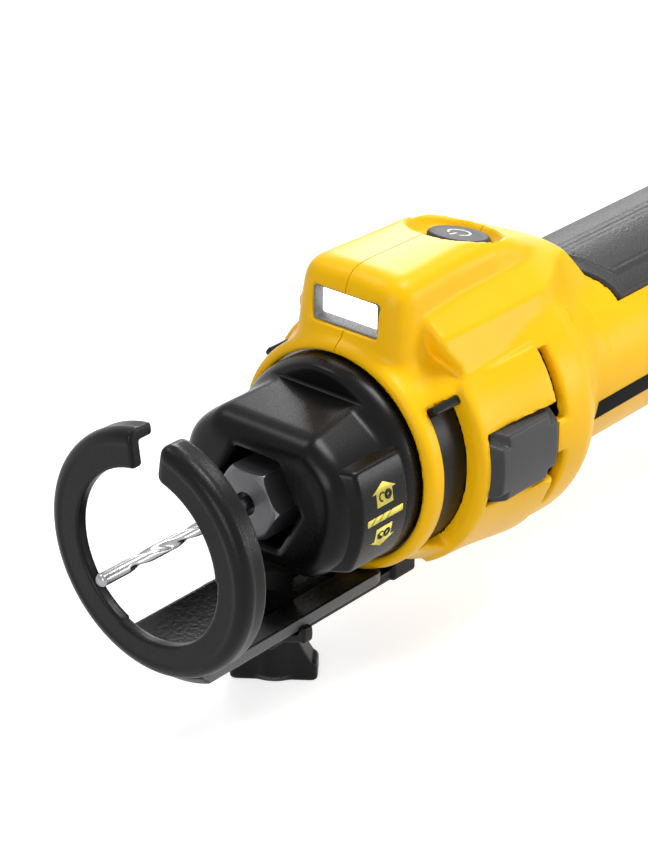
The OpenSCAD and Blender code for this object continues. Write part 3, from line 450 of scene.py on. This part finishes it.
def grip_field(x, y, z):
    """Rubber skin with a raised panel on top, and a fine groove inside the panel's edge."""
    rise, panel_rise, groove_depth = 0.9, 0.5, 0.6
    low_z = z + HANDLE_DROP
    radius, angle = np.hypot(y, low_z), side_angle(y, low_z)
    front = grip_front(angle)
    panel = np.maximum(arc_between(radius, angle, GRIP_EDGE + 13.0, PAST_TOP),
                       between(x, front + 5, GRIP_REAR - 6))
    groove = np.abs(panel + 2.2) - 0.35
    outside = HANDLE_R + rise + panel_rise * ease(-panel / 1.2) - groove_depth * ease(-groove / 0.5)
    body = smooth_max(radius - outside, arc_between(radius, angle, GRIP_EDGE + 0.2, PAST_TOP), 1.4)
    body = smooth_max(body, between(x, front + 0.1, GRIP_REAR - 0.1), 1.4)
    return np.maximum(body, GRIP_IN + 0.05 - radius)


# Meshes
def surface_nets(values, origin, step):
    """Vertices and quads of the zero surface of a grid of distances."""
    inside = values < 0.0
    n = np.array(values.shape)
    corners = [(i, j, k) for i in (0, 1) for j in (0, 1) for k in (0, 1)]
    full = sum(inside[i:n[0] - 1 + i, j:n[1] - 1 + j, k:n[2] - 1 + k].astype(np.int8)
               for i, j, k in corners)
    cells = np.argwhere((full > 0) & (full < 8))
    index = np.full(n - 1, -1, np.int64)
    index[tuple(cells.T)] = np.arange(len(cells))
    at_corner = [values[tuple((cells + c).T)] for c in corners]
    total, count = np.zeros((len(cells), 3)), np.zeros(len(cells))
    for a, ca in enumerate(corners):
        for b, cb in enumerate(corners):
            if b <= a or sum(abs(p - q) for p, q in zip(ca, cb)) != 1:
                continue
            crossing = (at_corner[a] < 0) != (at_corner[b] < 0)
            share = at_corner[a][crossing] / (at_corner[a][crossing] - at_corner[b][crossing])
            ends = np.array(ca, float), np.array(cb, float)
            total[crossing] += ends[0] + share[:, None] * (ends[1] - ends[0])
            count[crossing] += 1
    points = origin + (cells + total / count[:, None]) * step
    quads = []
    for axis in range(3):
        u, v = (axis + 1) % 3, (axis + 2) % 3
        ahead = np.moveaxis(inside, axis, 0)
        edges = np.argwhere(np.moveaxis(ahead[:-1] != ahead[1:], 0, axis))
        within = (edges[:, u] > 0) & (edges[:, v] > 0)
        within &= (edges[:, u] < n[u] - 1) & (edges[:, v] < n[v] - 1)
        edges = edges[within]
        step_u, step_v = np.eye(3, dtype=int)[u], np.eye(3, dtype=int)[v]
        ring = [index[tuple((edges - d).T)] for d in (step_u + step_v, step_v, 0 * step_u, step_u)]
        quad = np.stack(ring, 1)
        outward = inside[tuple(edges.T)]
        quads.append(np.where(outward[:, None], quad, quad[:, ::-1]))
    return points, np.concatenate(quads)


def settle(field, points, step):
    """Draws the vertices onto the exact zero surface."""
    delta = 0.05
    for _ in range(3):
        value = field(*points.T)
        slope = [field(*(points + delta * e).T) - field(*(points - delta * e).T) for e in np.eye(3)]
        slope = np.stack(slope, 1) / (2.0 * delta)
        move = value / np.maximum((slope ** 2).sum(1), 0.25)
        points = points - np.clip(move, -step / 2, step / 2)[:, None] * slope
    return points


def new_mesh(name, points, faces, material, body, replaced=()):
    mesh = bpy.data.meshes.new(name)
    mesh.from_pydata(to_row(points).tolist(), [], [list(map(int, f)) for f in faces])
    mesh.shade_smooth()
    return new_piece(name, mesh, material, body, replaced)


def new_piece(name, mesh, material, body, replaced=()):
    piece = bpy.data.objects.new(name, mesh)
    bpy.context.scene.collection.objects.link(piece)
    mesh.materials.append(material)
    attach(piece, body)
    if replaced:
        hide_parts(*replaced)
    return piece


def moulded(field, low, high, step):
    """Vertices and quads of a field's surface between two corners."""
    low, high = np.array(low, float) - 2 * step, np.array(high, float) + 2 * step
    axes = [np.arange(a, b + step, step) for a, b in zip(low, high)]
    grid = np.meshgrid(*axes, indexing="ij")
    points, quads = surface_nets(field(*grid), low, step)
    return settle(field, points, step), quads


def node_range(node):
    return [[station(node, c, a) for a in range(3)] for c in (0, 1)]


def moulded_piece(name, field, node, step, material, body, grow=1.5):
    """A piece meshed from a field inside the box of the node it replaces, grown on all sides."""
    low, high = node_range(node)
    points, quads = moulded(field, np.array(low) - grow, np.array(high) + grow, step)
    return new_mesh(name, points, quads, material, body, (node,))


def half_mesh(name, points, quads, side):
    """One side of a closed mesh, cut flat near the middle plane and closed again."""
    mesh = bpy.data.meshes.new(name)
    mesh.from_pydata(to_row(points).tolist(), [], quads.tolist())
    shape = bmesh.new()
    shape.from_mesh(mesh)
    everything = shape.verts[:] + shape.edges[:] + shape.faces[:]
    cut = bmesh.ops.bisect_plane(shape, geom=everything, plane_co=(0, side * SEAM * MM, 0),
                                 plane_no=(0, -side, 0), clear_outer=True)
    rim = [e for e in cut["geom_cut"] if isinstance(e, bmesh.types.BMEdge)]
    bmesh.ops.triangle_fill(shape, edges=rim, use_beauty=True)
    bmesh.ops.recalc_face_normals(shape, faces=shape.faces[:])
    shape.to_mesh(mesh)
    shape.free()
    mesh.shade_smooth()
    mesh.set_sharp_from_angle(angle=math.radians(50))
    return mesh


def lathe(profile, turns=64):
    """Closed mesh of [radius, height] points turned about the z axis; both ends lie on the axis."""
    inner = profile[1:-1]
    angles = [2 * math.pi * i / turns for i in range(turns)]
    points = [(0, 0, profile[0][1])]
    for r, h in inner:
        points += [(r * math.cos(a), r * math.sin(a), h) for a in angles]
    points.append((0, 0, profile[-1][1]))
    last = len(points) - 1
    faces = []
    for i in range(turns):
        j = (i + 1) % turns
        faces.append((0, 1 + j, 1 + i))
        for row in range(len(inner) - 1):
            a, b = 1 + row * turns, 1 + (row + 1) * turns
            faces.append((a + i, a + j, b + j, b + i))
        top = 1 + (len(inner) - 1) * turns
        faces.append((top + i, top + j, last))
    return np.array(points, float), faces


def plate_mesh(outlines, thickness):
    """Closed flat plates over w = 0 from outlines; those that share an edge make one plate."""
    spots, loops = {}, []
    for outline in outlines:
        keys = [(round(u, 6), round(v, 6)) for u, v in outline]
        loops.append([spots.setdefault(key, len(spots)) for key in keys])
    n = len(spots)
    points = [(u, v, w) for w in (0.0, thickness) for u, v in spots]
    edges = {edge for loop in loops for edge in zip(loop, loop[1:] + loop[:1])}
    faces = [loop[::-1] for loop in loops] + [[n + i for i in loop] for loop in loops]
    faces += [[i, j, n + j, n + i] for i, j in sorted(edges) if (j, i) not in edges]
    return np.array(points, float), faces


def flipped(faces):
    """The same faces seen from their other side."""
    return [list(reversed(f)) for f in faces]


def ring_quads(centre, inner, outer, start, end, count):
    """Outlines of the short pieces of a ring, from one angle to another."""
    def at(r, a):
        return centre[0] + r * math.cos(a), centre[1] + r * math.sin(a)
    angles = [math.radians(start + (end - start) * i / count) for i in range(count + 1)]
    return [[at(inner, a), at(outer, a), at(outer, b), at(inner, b)] for a, b in zip(angles, angles[1:])]


# Materials
DRIFT_SCALE, BUMP_DEPTH = 60.0, 0.0002


def material(name, colour, roughness, grain, bump, spread=0.08, metallic=0.0, shine=0.5,
             dark_share=0.85):
    """A procedural surface: colour and roughness drift slowly, and a fine grain sets the bump."""
    mat = bpy.data.materials.new(name)
    mat.use_nodes = True
    tree = mat.node_tree
    shader = tree.nodes["Principled BSDF"]
    shader.inputs["Metallic"].default_value = metallic
    shader.inputs["Specular IOR Level"].default_value = shine
    where = tree.nodes.new("ShaderNodeTexCoord")

    def noise(scale, detail):
        node = tree.nodes.new("ShaderNodeTexNoise")
        node.inputs["Scale"].default_value = scale
        node.inputs["Detail"].default_value = detail
        tree.links.new(where.outputs["Object"], node.inputs["Vector"])
        return node.outputs["Fac"]

    drift = noise(DRIFT_SCALE, 3.0)
    ramp = tree.nodes.new("ShaderNodeValToRGB")
    dark, light = ramp.color_ramp.elements
    dark.position, light.position = 0.3, 0.7
    dark.color = [c * dark_share for c in colour] + [1.0]
    light.color = list(colour) + [1.0]
    tree.links.new(drift, ramp.inputs["Fac"])
    tree.links.new(ramp.outputs["Color"], shader.inputs["Base Color"])
    fine = noise(grain, 2.0)
    gloss = tree.nodes.new("ShaderNodeMapRange")
    gloss.inputs["To Min"].default_value = roughness - spread
    gloss.inputs["To Max"].default_value = roughness + spread
    tree.links.new(fine, gloss.inputs["Value"])
    tree.links.new(gloss.outputs["Result"], shader.inputs["Roughness"])
    height = tree.nodes.new("ShaderNodeBump")
    height.inputs["Strength"].default_value = bump
    height.inputs["Distance"].default_value = BUMP_DEPTH
    tree.links.new(fine, height.inputs["Height"])
    tree.links.new(height.outputs["Normal"], shader.inputs["Normal"])
    return mat


def glow(name, colour, strength):
    """A surface that gives off light of its own colour."""
    mat = material(name, colour, 0.2, 800.0, 0.05)
    shader = mat.node_tree.nodes["Principled BSDF"]
    shader.inputs["Emission Color"].default_value = list(colour) + [1.0]
    shader.inputs["Emission Strength"].default_value = strength
    return mat


def painted_edge_highlight(mat, colour):
    """Painted highlight: a lighter colour where the surface faces straight to a side, standing in for the
    light that catches the side edges of the arm.
    """
    tree = mat.node_tree
    shader = tree.nodes["Principled BSDF"]
    where = tree.nodes.new("ShaderNodeTexCoord")
    split = tree.nodes.new("ShaderNodeSeparateXYZ")
    tree.links.new(where.outputs["Normal"], split.inputs["Vector"])
    size = tree.nodes.new("ShaderNodeMath")
    size.operation = "ABSOLUTE"
    tree.links.new(split.outputs["Y"], size.inputs[0])
    # Mask of the painted highlight: faces that point along y get the lighter colour.
    share = tree.nodes.new("ShaderNodeMapRange")
    share.inputs["From Min"].default_value = 0.75
    share.inputs["From Max"].default_value = 0.95
    tree.links.new(size.outputs["Value"], share.inputs["Value"])
    painted_highlight_mix = tree.nodes.new("ShaderNodeMixRGB")
    painted_highlight_mix.inputs["Color2"].default_value = list(colour) + [1.0]
    tree.links.new(share.outputs["Result"], painted_highlight_mix.inputs["Fac"])
    tree.links.new(shader.inputs["Base Color"].links[0].from_socket, painted_highlight_mix.inputs["Color1"])
    tree.links.new(painted_highlight_mix.outputs["Color"], shader.inputs["Base Color"])
    return mat


YELLOW = material("yellow_shell", (0.96, 0.53, 0.003), 0.36, 2600.0, 0.10, dark_share=0.96, shine=0.16)
BLACK = material("black_plastic", (0.004, 0.004, 0.0045), 0.34, 2400.0, 0.12, shine=0.16)
SOFT_BLACK = material("collar_plastic", (0.003, 0.003, 0.0034), 0.28, 1600.0, 0.03, shine=0.14, spread=0.03)
GREY = material("dark_plastic", (0.040, 0.040, 0.043), 0.40, 2600.0, 0.18, shine=0.25)
BUTTON_GREY = material("button_plastic", (0.045, 0.045, 0.050), 0.5, 2600.0, 0.15, shine=0.15)
RUBBER = material("grip_rubber", (0.012, 0.012, 0.013), 0.52, 1500.0, 0.9, shine=0.35)
COATED = material("black_steel", (0.003, 0.003, 0.0034), 0.34, 1900.0, 0.25, shine=0.16)
# The arm's black steel with a painted highlight: lighter grey on its side-facing edges, where light catches
# them.
ARM_STEEL_PAINTED_EDGES = painted_edge_highlight(material("arm_steel_painted_edges", (0.003, 0.003, 0.0034), 0.40, 900.0, 0.7, shine=0.16),
                        (0.13, 0.13, 0.132))
NUT_STEEL = material("nut_steel", (0.20, 0.20, 0.21), 0.36, 1500.0, 0.25, metallic=0.9, dark_share=0.7)
BIT_STEEL = material("bit_steel", (0.34, 0.34, 0.35), 0.26, 900.0, 0.01, metallic=1.0, spread=0.02)
STEEL = material("bearing_steel", (0.60, 0.60, 0.62), 0.25, 1500.0, 0.1, metallic=1.0)
ALUMINIUM = material("aluminium", (0.45, 0.45, 0.46), 0.45, 900.0, 0.3, metallic=1.0)
IRON = material("lamination", (0.16, 0.16, 0.17), 0.5, 1200.0, 0.3, metallic=0.8)
COPPER = material("copper_wire", (0.62, 0.25, 0.08), 0.35, 700.0, 0.5, metallic=0.9)
BRASS = material("brass", (0.72, 0.48, 0.14), 0.3, 1200.0, 0.15, metallic=1.0)
BOARD = material("circuit_board", (0.01, 0.09, 0.035), 0.4, 500.0, 0.2)
LEAD = material("lead_sleeve", (0.012, 0.012, 0.012), 0.5, 900.0, 0.2)
FRAME_GREY = material("lamp_frame", (0.16, 0.16, 0.17), 0.28, 900.0, 0.05)
MARK = material("icon_yellow", (1.0, 0.88, 0.17), 0.5, 1500.0, 0.1, shine=0.2)
WHITE = material("symbol_white", (0.80, 0.80, 0.80), 0.5, 1500.0, 0.1)
LAMP = glow("lamp_glow", (1.0, 0.98, 0.94), 3.0)

NODE_LOOKS = {
    BLACK: ["motor_sleeve", "rear_bearing_plate", "terminal_block", "cooling_fan", "switch_body"],
    COATED: ["housing_screws", "bracket_screws", "clamp_bolt"],
    GREY: ["controller_tray"],
    LAMP: ["lamp_chips"],
    BOARD: ["lamp_board", "switch_plate", "sensor_board", "controller_board"],
    ALUMINIUM: ["front_bearing_plate"],
    IRON: ["stator_core", "rotor_core", "rotor_magnets"],
    COPPER: ["stator_windings"],
    STEEL: ["front_bearing_outer", "front_bearing_balls", "rear_bearing_outer", "rear_bearing_balls",
            "front_bearing_inner", "rear_bearing_inner", "spindle_shaft", "collar_clip"],
    LEAD: ["motor_leads", "battery_leads"],
    BRASS: ["terminal_blades", "knob_insert"],
    NUT_STEEL: ["collet_nut", "collet"],
}
BEVELS = {"collet_nut": 0.5, "clamp_bolt": 0.8, "terminal_block": 0.8, "terminal_blades": 0.2,
          "housing_screws": 0.3, "bracket_screws": 0.3}


def dress_nodes():
    """Materials and rounded edges of the nodes that are shown as they are."""
    for mat, names in NODE_LOOKS.items():
        for name in names:
            node = NODES[name]
            node.data.materials.clear()
            node.data.materials.append(mat)
    for name, width in BEVELS.items():
        bevel = NODES[name].modifiers.new("edge", "BEVEL")
        bevel.width = width * MM
        bevel.segments = 3
        bevel.limit_method = "ANGLE"
        bevel.angle_limit = math.radians(35)


def build_casing():
    low = (0.0, -DOCK_HALF, FLOOR_Z)
    points, quads = moulded(casing_field, low, (DOCK_REAR, DOCK_HALF, HUMP_TOP), VOXEL)
    for label, side in SIDES:
        node = f"{label}_housing"
        mesh = half_mesh(f"{node}_shell", points, quads, side)
        new_piece(f"{node}_shell", mesh, YELLOW, "tool_body", (node,))


def build_grip():
    moulded_piece("grip_cover", grip_field, "rubber_grip", FINE + 0.2, RUBBER,
                  "tool_body", 9.0)


def build_collar():
    moulded_piece("collar_nose", collar_field, "lock_collar", FINE + 0.1, SOFT_BLACK,
                  "collar")
    for label, field in (("left", pad_field), ("right", right_pad_field)):
        moulded_piece(f"{label}_pad_cover", field, f"{label}_collar_pad", FINE, SOFT_BLACK,
                      "collar", 4.5)


def build_badges():
    for label, field in (("left", badge_field), ("right", right_badge_field)):
        moulded_piece(f"{label}_badge_plate", field, f"{label}_badge", FINE, GREY,
                      "tool_body", 3.0)


def build_guide():
    moulded_piece("foot_ring", foot_field, "guide_foot", FINE, COATED, "depth_guide")
    moulded_piece("arm_plate", arm_field, "guide_arm", FINE, ARM_STEEL_PAINTED_EDGES, "depth_guide")
    moulded_piece("rivet_stems", rivet_field, "foot_rivets", FINE, STEEL,
                  "depth_guide")
    moulded_piece("clamp_bracket", bracket_field, "guide_bracket", FINE, COATED,
                  "tool_body")
    moulded_piece("knob_wings", knob_field, "wing_knob", FINE, BLACK, "knob")


def lens_field(x, y, z):
    return box_field(x, y, z, (LENS_X, -WINDOW_HALF + 1.2, WINDOW_LOW + 1.4),
                     (LENS_X + 1.2, WINDOW_HALF - 1.2, WINDOW_HIGH - 0.9), 0.5)


def lamp_frame_field(x, y, z):
    """Shallow tapered frame around the lens."""
    low, high = (LENS_X - 2.2, -WINDOW_HALF, WINDOW_LOW), (LENS_X + 4.0, WINDOW_HALF, WINDOW_HIGH)
    outer = box_field(x, y, z, low, high, 0.6)
    slope = np.clip(LENS_X + 0.4 - x, 0.0, 4.0) * 0.35
    middle, half_z = (WINDOW_LOW + 0.5 + WINDOW_HIGH) / 2, (WINDOW_HIGH - WINDOW_LOW - 2.3) / 2
    inner = smooth_max(np.abs(y) - WINDOW_HALF + 1.25 - slope, np.abs(z - middle) - half_z - slope, 0.8)
    return carve(outer, inner, 0.3)


def build_lamp():
    moulded_piece("lens_window", lens_field, "lamp_lens", FINE, LAMP, "tool_body", 4.0)
    moulded_piece("lamp_frame", lamp_frame_field, "lamp_reflector", FINE * 0.6, FRAME_GREY,
                  "tool_body", 4.0)


def lip_field(x, y, z):
    radius = np.hypot(y, z)
    arc = arc_between(radius, side_angle(y, z), VENT_TOP - 4.0, VENT_TOP + 0.2)
    body = smooth_max(between(radius, 28.0, 32.4), arc, 0.5)
    return smooth_max(body, between(x, SLOT_X - 0.2, BAND_X + 0.1), 0.5)


def build_liner_lips():
    """Edges of the black liner at the upper end of each side vent."""
    near_y, far_y, low_z, high_z = 22.0, 30.0, 12.0, 22.0
    for label, side in SIDES:
        low, high = sorted((side * near_y, side * far_y))
        points, quads = moulded(lip_field, (SLOT_X - 1, low, low_z), (BAND_X + 1, high, high_z), FINE)
        new_mesh(f"{label}_liner_lip", points, quads, BLACK, "tool_body")


def button_points(points):
    """Points of the tilted seat of the button, in millimetre stations."""
    turn = Matrix.Rotation(BUTTON_TILT, 3, "Y")
    return np.array([list(BUTTON + turn @ Vector(p)) for p in points])


def build_button():
    """Domed cap with a flange below it, and the power symbol on top."""
    r, flange, flange_low, flange_high = BUTTON_R, BUTTON_R + 1.2, -5.95, -4.05
    profile = [(0, flange_low), (flange, flange_low), (flange, flange_high), (r, flange_high),
               (r, 0.9), (r - 0.25, 1.4), (r - 0.7, 1.7), (r - 1.1, 1.74), (r - 1.4, 1.64),
               (r - 2.2, 1.68), (r / 2, 1.8), (0, 1.85)]
    points, faces = lathe(profile)
    new_mesh("button_cap", button_points(points), faces, BUTTON_GREY, "button", ("power_button",))
    symbol_z, symbol_t, bar_half = 1.78, 0.12, 0.32
    outlines = ring_quads((0, 0), 2.5, 3.1, 215.0, 505.0, 40)
    outlines.append([(-4.3, -bar_half), (-1.0, -bar_half), (-1.0, bar_half), (-4.3, bar_half)])
    points, faces = plate_mesh(outlines, symbol_t)
    points[:, 2] += symbol_z
    new_mesh("button_symbol", button_points(points), faces, WHITE, "button")


def build_bit():
    """Shank, two-flute spiral and smooth guide point, as rings of points along the bit."""
    ring, rows, flute_depth = 36, 220, 0.42
    flute_start, flute_end, turns = BIT_TIP + 8.0, BIT_TIP + 38.0, 0.95
    stations = np.linspace(BIT_TIP, BIT_END, rows)
    points, faces = [], []
    for x in stations:
        t = (x - flute_start) / (flute_end - flute_start)
        depth = flute_depth * float(ease(t / 0.06) * ease((1.0 - t) / 0.10)) if 0 < t < 1 else 0.0
        tip = min(1.0, 0.72 + 0.28 * (x - BIT_TIP) / 0.7)
        twist = 2.0 * math.pi * turns * t
        for i in range(ring):
            a = 2.0 * math.pi * i / ring
            valley = max(0.0, math.cos(2.0 * (a - twist))) ** 0.7
            r = BIT_R * tip * (1.0 - depth * valley)
            points.append((x, r * math.cos(a), r * math.sin(a)))
    for a in range(0, (rows - 1) * ring, ring):
        b = a + ring
        for i in range(ring):
            j = (i + 1) % ring
            faces.append((a + i, b + i, b + j, a + j))
    faces.append(list(range(ring)))
    faces.append([(rows - 1) * ring + i for i in reversed(range(ring))])
    new_mesh("spiral_bit", points, faces, BIT_STEEL, "spindle", ("cutting_bit",))


def on_pad(points, side):
    """Flat icon points to the curved face of a pad: u runs to the rear, v up, w outwards."""
    u, v, w = points.T
    radius = PAD_FACE_R + 0.02 + w
    angle = v / PAD_FACE_R
    x = (PAD_FRONT + PAD_REAR) / 2 + u
    return np.stack([x, side * radius * np.cos(angle), radius * np.sin(angle)], 1)


def padlock(u, v, opened):
    """A padlock lying on its side: a round body with a keyhole, and the shackle in front of it."""
    body = ring_quads((u + 1.2, v), 0.4, 1.25, 0.0, 360.0, 24)
    return body + ring_quads((u - 0.95, v), 0.85, 1.2, 40.0, 275.0 if opened else 320.0, 20)


def striped_bar(u, v, length, half):
    """A bar cut by three slanting slits."""
    lean, gap, slits = 1.7, 0.22, [1.3 + 2.8 * i for i in range(3)]
    starts = [(0.0, 0.0)] + [(s + gap, s + lean + gap) for s in slits]
    ends = [(s - gap, s + lean - gap) for s in slits] + [(length, length)]
    return [[(u + low, v - half), (u + low_end, v - half), (u + high_end, v + half), (u + high, v + half)]
            for (low, high), (low_end, high_end) in zip(starts, ends)]


def build_icons():
    """Arrows, padlocks and a striped bar on each pad."""
    middle, up_v, down_v, icon_t, lock_lift = 1.4, 2.0, -3.7, 0.1, 0.1
    stem, head, neck, tip = 2.85, 4.25, 3.6, 5.9
    house = [(-stem, 0.0), (stem, 0.0), (stem, neck), (head, neck), (0.0, tip), (-head, neck),
             (-stem, neck)]
    arrow = [(middle + u, up_v + v) for u, v in house]
    down = [(middle + u, down_v - v) for u, v in reversed(house)]
    bars = striped_bar(middle - 6.4, -1.0, 12.8, 0.85)
    locks = padlock(middle, up_v + 2.3, True) + padlock(middle, down_v - 2.2, False)
    parts = [("marks", [arrow, down] + bars, MARK, 0.0), ("locks", locks, BLACK, lock_lift)]
    for label, side in SIDES:
        right = side > 0
        for part, outlines, mat, lift in parts:
            points, faces = plate_mesh(outlines, icon_t)
            points += (0.0, RIGHT_PAD_DROP if right else 0.0, lift)
            faces = flipped(faces) if right else faces
            new_mesh(f"{label}_pad_{part}", on_pad(points, side), faces, mat, "collar")


def build_stripes():
    """A plain dark stripe along each side of the handle."""
    count, front, rear = 12, NECK_X - 2.5, STRIPE_REAR
    low, high = STRIPE_ARC
    angles = [math.radians(low + (high - low) * i / count) for i in range(count + 1)]
    outlines = [[(front, a), (rear, a), (rear, b), (front, b)] for a, b in zip(angles, angles[1:])]
    for label, side in SIDES:
        points, faces = plate_mesh(outlines, STRIPE_T)
        x, a, w = points.T
        r = HANDLE_R + 0.02 + w
        faces = flipped(faces) if side > 0 else faces
        curved = np.stack([x, side * r * np.cos(a), r * np.sin(a) - HANDLE_DROP], 1)
        new_mesh(f"{label}_stripe", curved, faces, BLACK, "tool_body")


# Camera, light and floor
CAMERA_AT = (-448.8, -379.0, 300.9)      # fitted to the photograph, in stations
CAMERA_RIGHT = (0.6493, -0.7605, 0.0031)
CAMERA_UP = (0.3387, 0.2929, 0.8942)
CAMERA_BACK = (-0.6809, -0.5795, 0.4478)
CAMERA_LENS, SENSOR = 113.3, 36.0
FLOOR_REACH = 3.0
LIGHT_TARGET = (0, 0, 0.05)
LIGHTS = [                               # name, place and size in metres, power in watts
    ("key", (0.42, -0.30, 1.10), 0.42, 11.6),
    ("fill", (-0.95, -0.45, 0.42), 0.5, 5.0),
    ("top", (-0.25, 0.5, 1.0), 0.38, 3.0),
    ("rim", (0.75, -0.90, 0.22), 0.30, 3.6),
    ("back", (0.95, 0.74, 0.62), 0.40, 7.5),
]


def build_camera():
    camera = bpy.data.objects.new("camera", bpy.data.cameras.new("camera"))
    camera.data.lens = CAMERA_LENS
    camera.data.sensor_width = SENSOR
    turn = Matrix((CAMERA_RIGHT, CAMERA_UP, CAMERA_BACK)).transposed()
    camera.matrix_world = Matrix.Translation(Vector(to_row(CAMERA_AT))) @ turn.to_4x4()
    camera.data.clip_start = 0.01
    bpy.context.scene.collection.objects.link(camera)
    bpy.context.scene.camera = camera


def build_floor():
    r = FLOOR_REACH
    floor_mesh = bpy.data.meshes.new("floor")
    floor_mesh.from_pydata([(-r, -r, 0), (r, -r, 0), (r, r, 0), (-r, r, 0)], [], [(0, 1, 2, 3)])
    floor = bpy.data.objects.new("floor", floor_mesh)
    bpy.context.scene.collection.objects.link(floor)
    floor_mesh.materials.append(floor_material())


def build_stage():
    build_camera()
    build_floor()
    for light in LIGHTS:
        area_light(*light)
    build_world()
    bpy.context.scene.view_settings.view_transform = "Standard"


def area_light(name, place, size, power):
    lamp = bpy.data.lights.new(name, "AREA")
    lamp.size = size
    lamp.energy = power
    obj = bpy.data.objects.new(name, lamp)
    obj.location = place
    aim = Vector(LIGHT_TARGET) - Vector(place)
    obj.rotation_euler = aim.to_track_quat("-Z", "Y").to_euler()
    bpy.context.scene.collection.objects.link(obj)


def seen_directly(tree):
    """One for camera, glossy and transmitted rays."""
    path = tree.nodes.new("ShaderNodeLightPath")
    total = path.outputs["Is Camera Ray"]
    for ray in ("Is Glossy Ray", "Is Transmission Ray"):
        add = tree.nodes.new("ShaderNodeMath")
        add.operation = "MAXIMUM"
        tree.links.new(total, add.inputs[0])
        tree.links.new(path.outputs[ray], add.inputs[1])
        total = add.outputs[0]
    return total


def floor_material():
    """Pale floor that keeps the shadow and goes over into the white background with distance."""
    mat = bpy.data.materials.new("floor")
    mat.use_nodes = True
    tree = mat.node_tree
    shader = tree.nodes["Principled BSDF"]
    shader.inputs["Base Color"].default_value = (0.55, 0.55, 0.55, 1.0)
    shader.inputs["Roughness"].default_value = 0.9
    shader.inputs["Emission Color"].default_value = (1.0, 1.0, 1.0, 1.0)
    where = tree.nodes.new("ShaderNodeNewGeometry")
    distance = tree.nodes.new("ShaderNodeVectorMath")
    distance.operation = "LENGTH"
    tree.links.new(where.outputs["Position"], distance.inputs[0])
    fade = tree.nodes.new("ShaderNodeMapRange")
    fade.inputs["From Min"].default_value = 0.6
    fade.inputs["From Max"].default_value = 1.3
    fade.inputs["To Min"].default_value = 0.72
    fade.inputs["To Max"].default_value = 1.0
    tree.links.new(distance.outputs["Value"], fade.inputs["Value"])
    scale = tree.nodes.new("ShaderNodeMath")
    scale.operation = "MULTIPLY"
    tree.links.new(fade.outputs["Result"], scale.inputs[1])
    tree.links.new(seen_directly(tree), scale.inputs[0])
    tree.links.new(scale.outputs[0], shader.inputs["Emission Strength"])
    return mat


def build_world():
    """White where it is seen or mirrored, and dim as a source of light."""
    world = bpy.data.worlds.new("studio")
    bpy.context.scene.world = world
    world.use_nodes = True
    tree = world.node_tree
    background = tree.nodes["Background"]
    background.inputs["Color"].default_value = (1.0, 1.0, 1.0, 1.0)
    strength = tree.nodes.new("ShaderNodeMapRange")
    strength.inputs["To Min"].default_value = 0.13
    strength.inputs["To Max"].default_value = 1.0
    tree.links.new(seen_directly(tree), strength.inputs["Value"])
    tree.links.new(strength.outputs["Result"], background.inputs["Strength"])


dress_nodes()
build_casing()
build_grip()
build_collar()
build_badges()
build_guide()
build_lamp()
build_liner_lips()
build_button()
build_bit()
build_icons()
build_stripes()
build_stage()
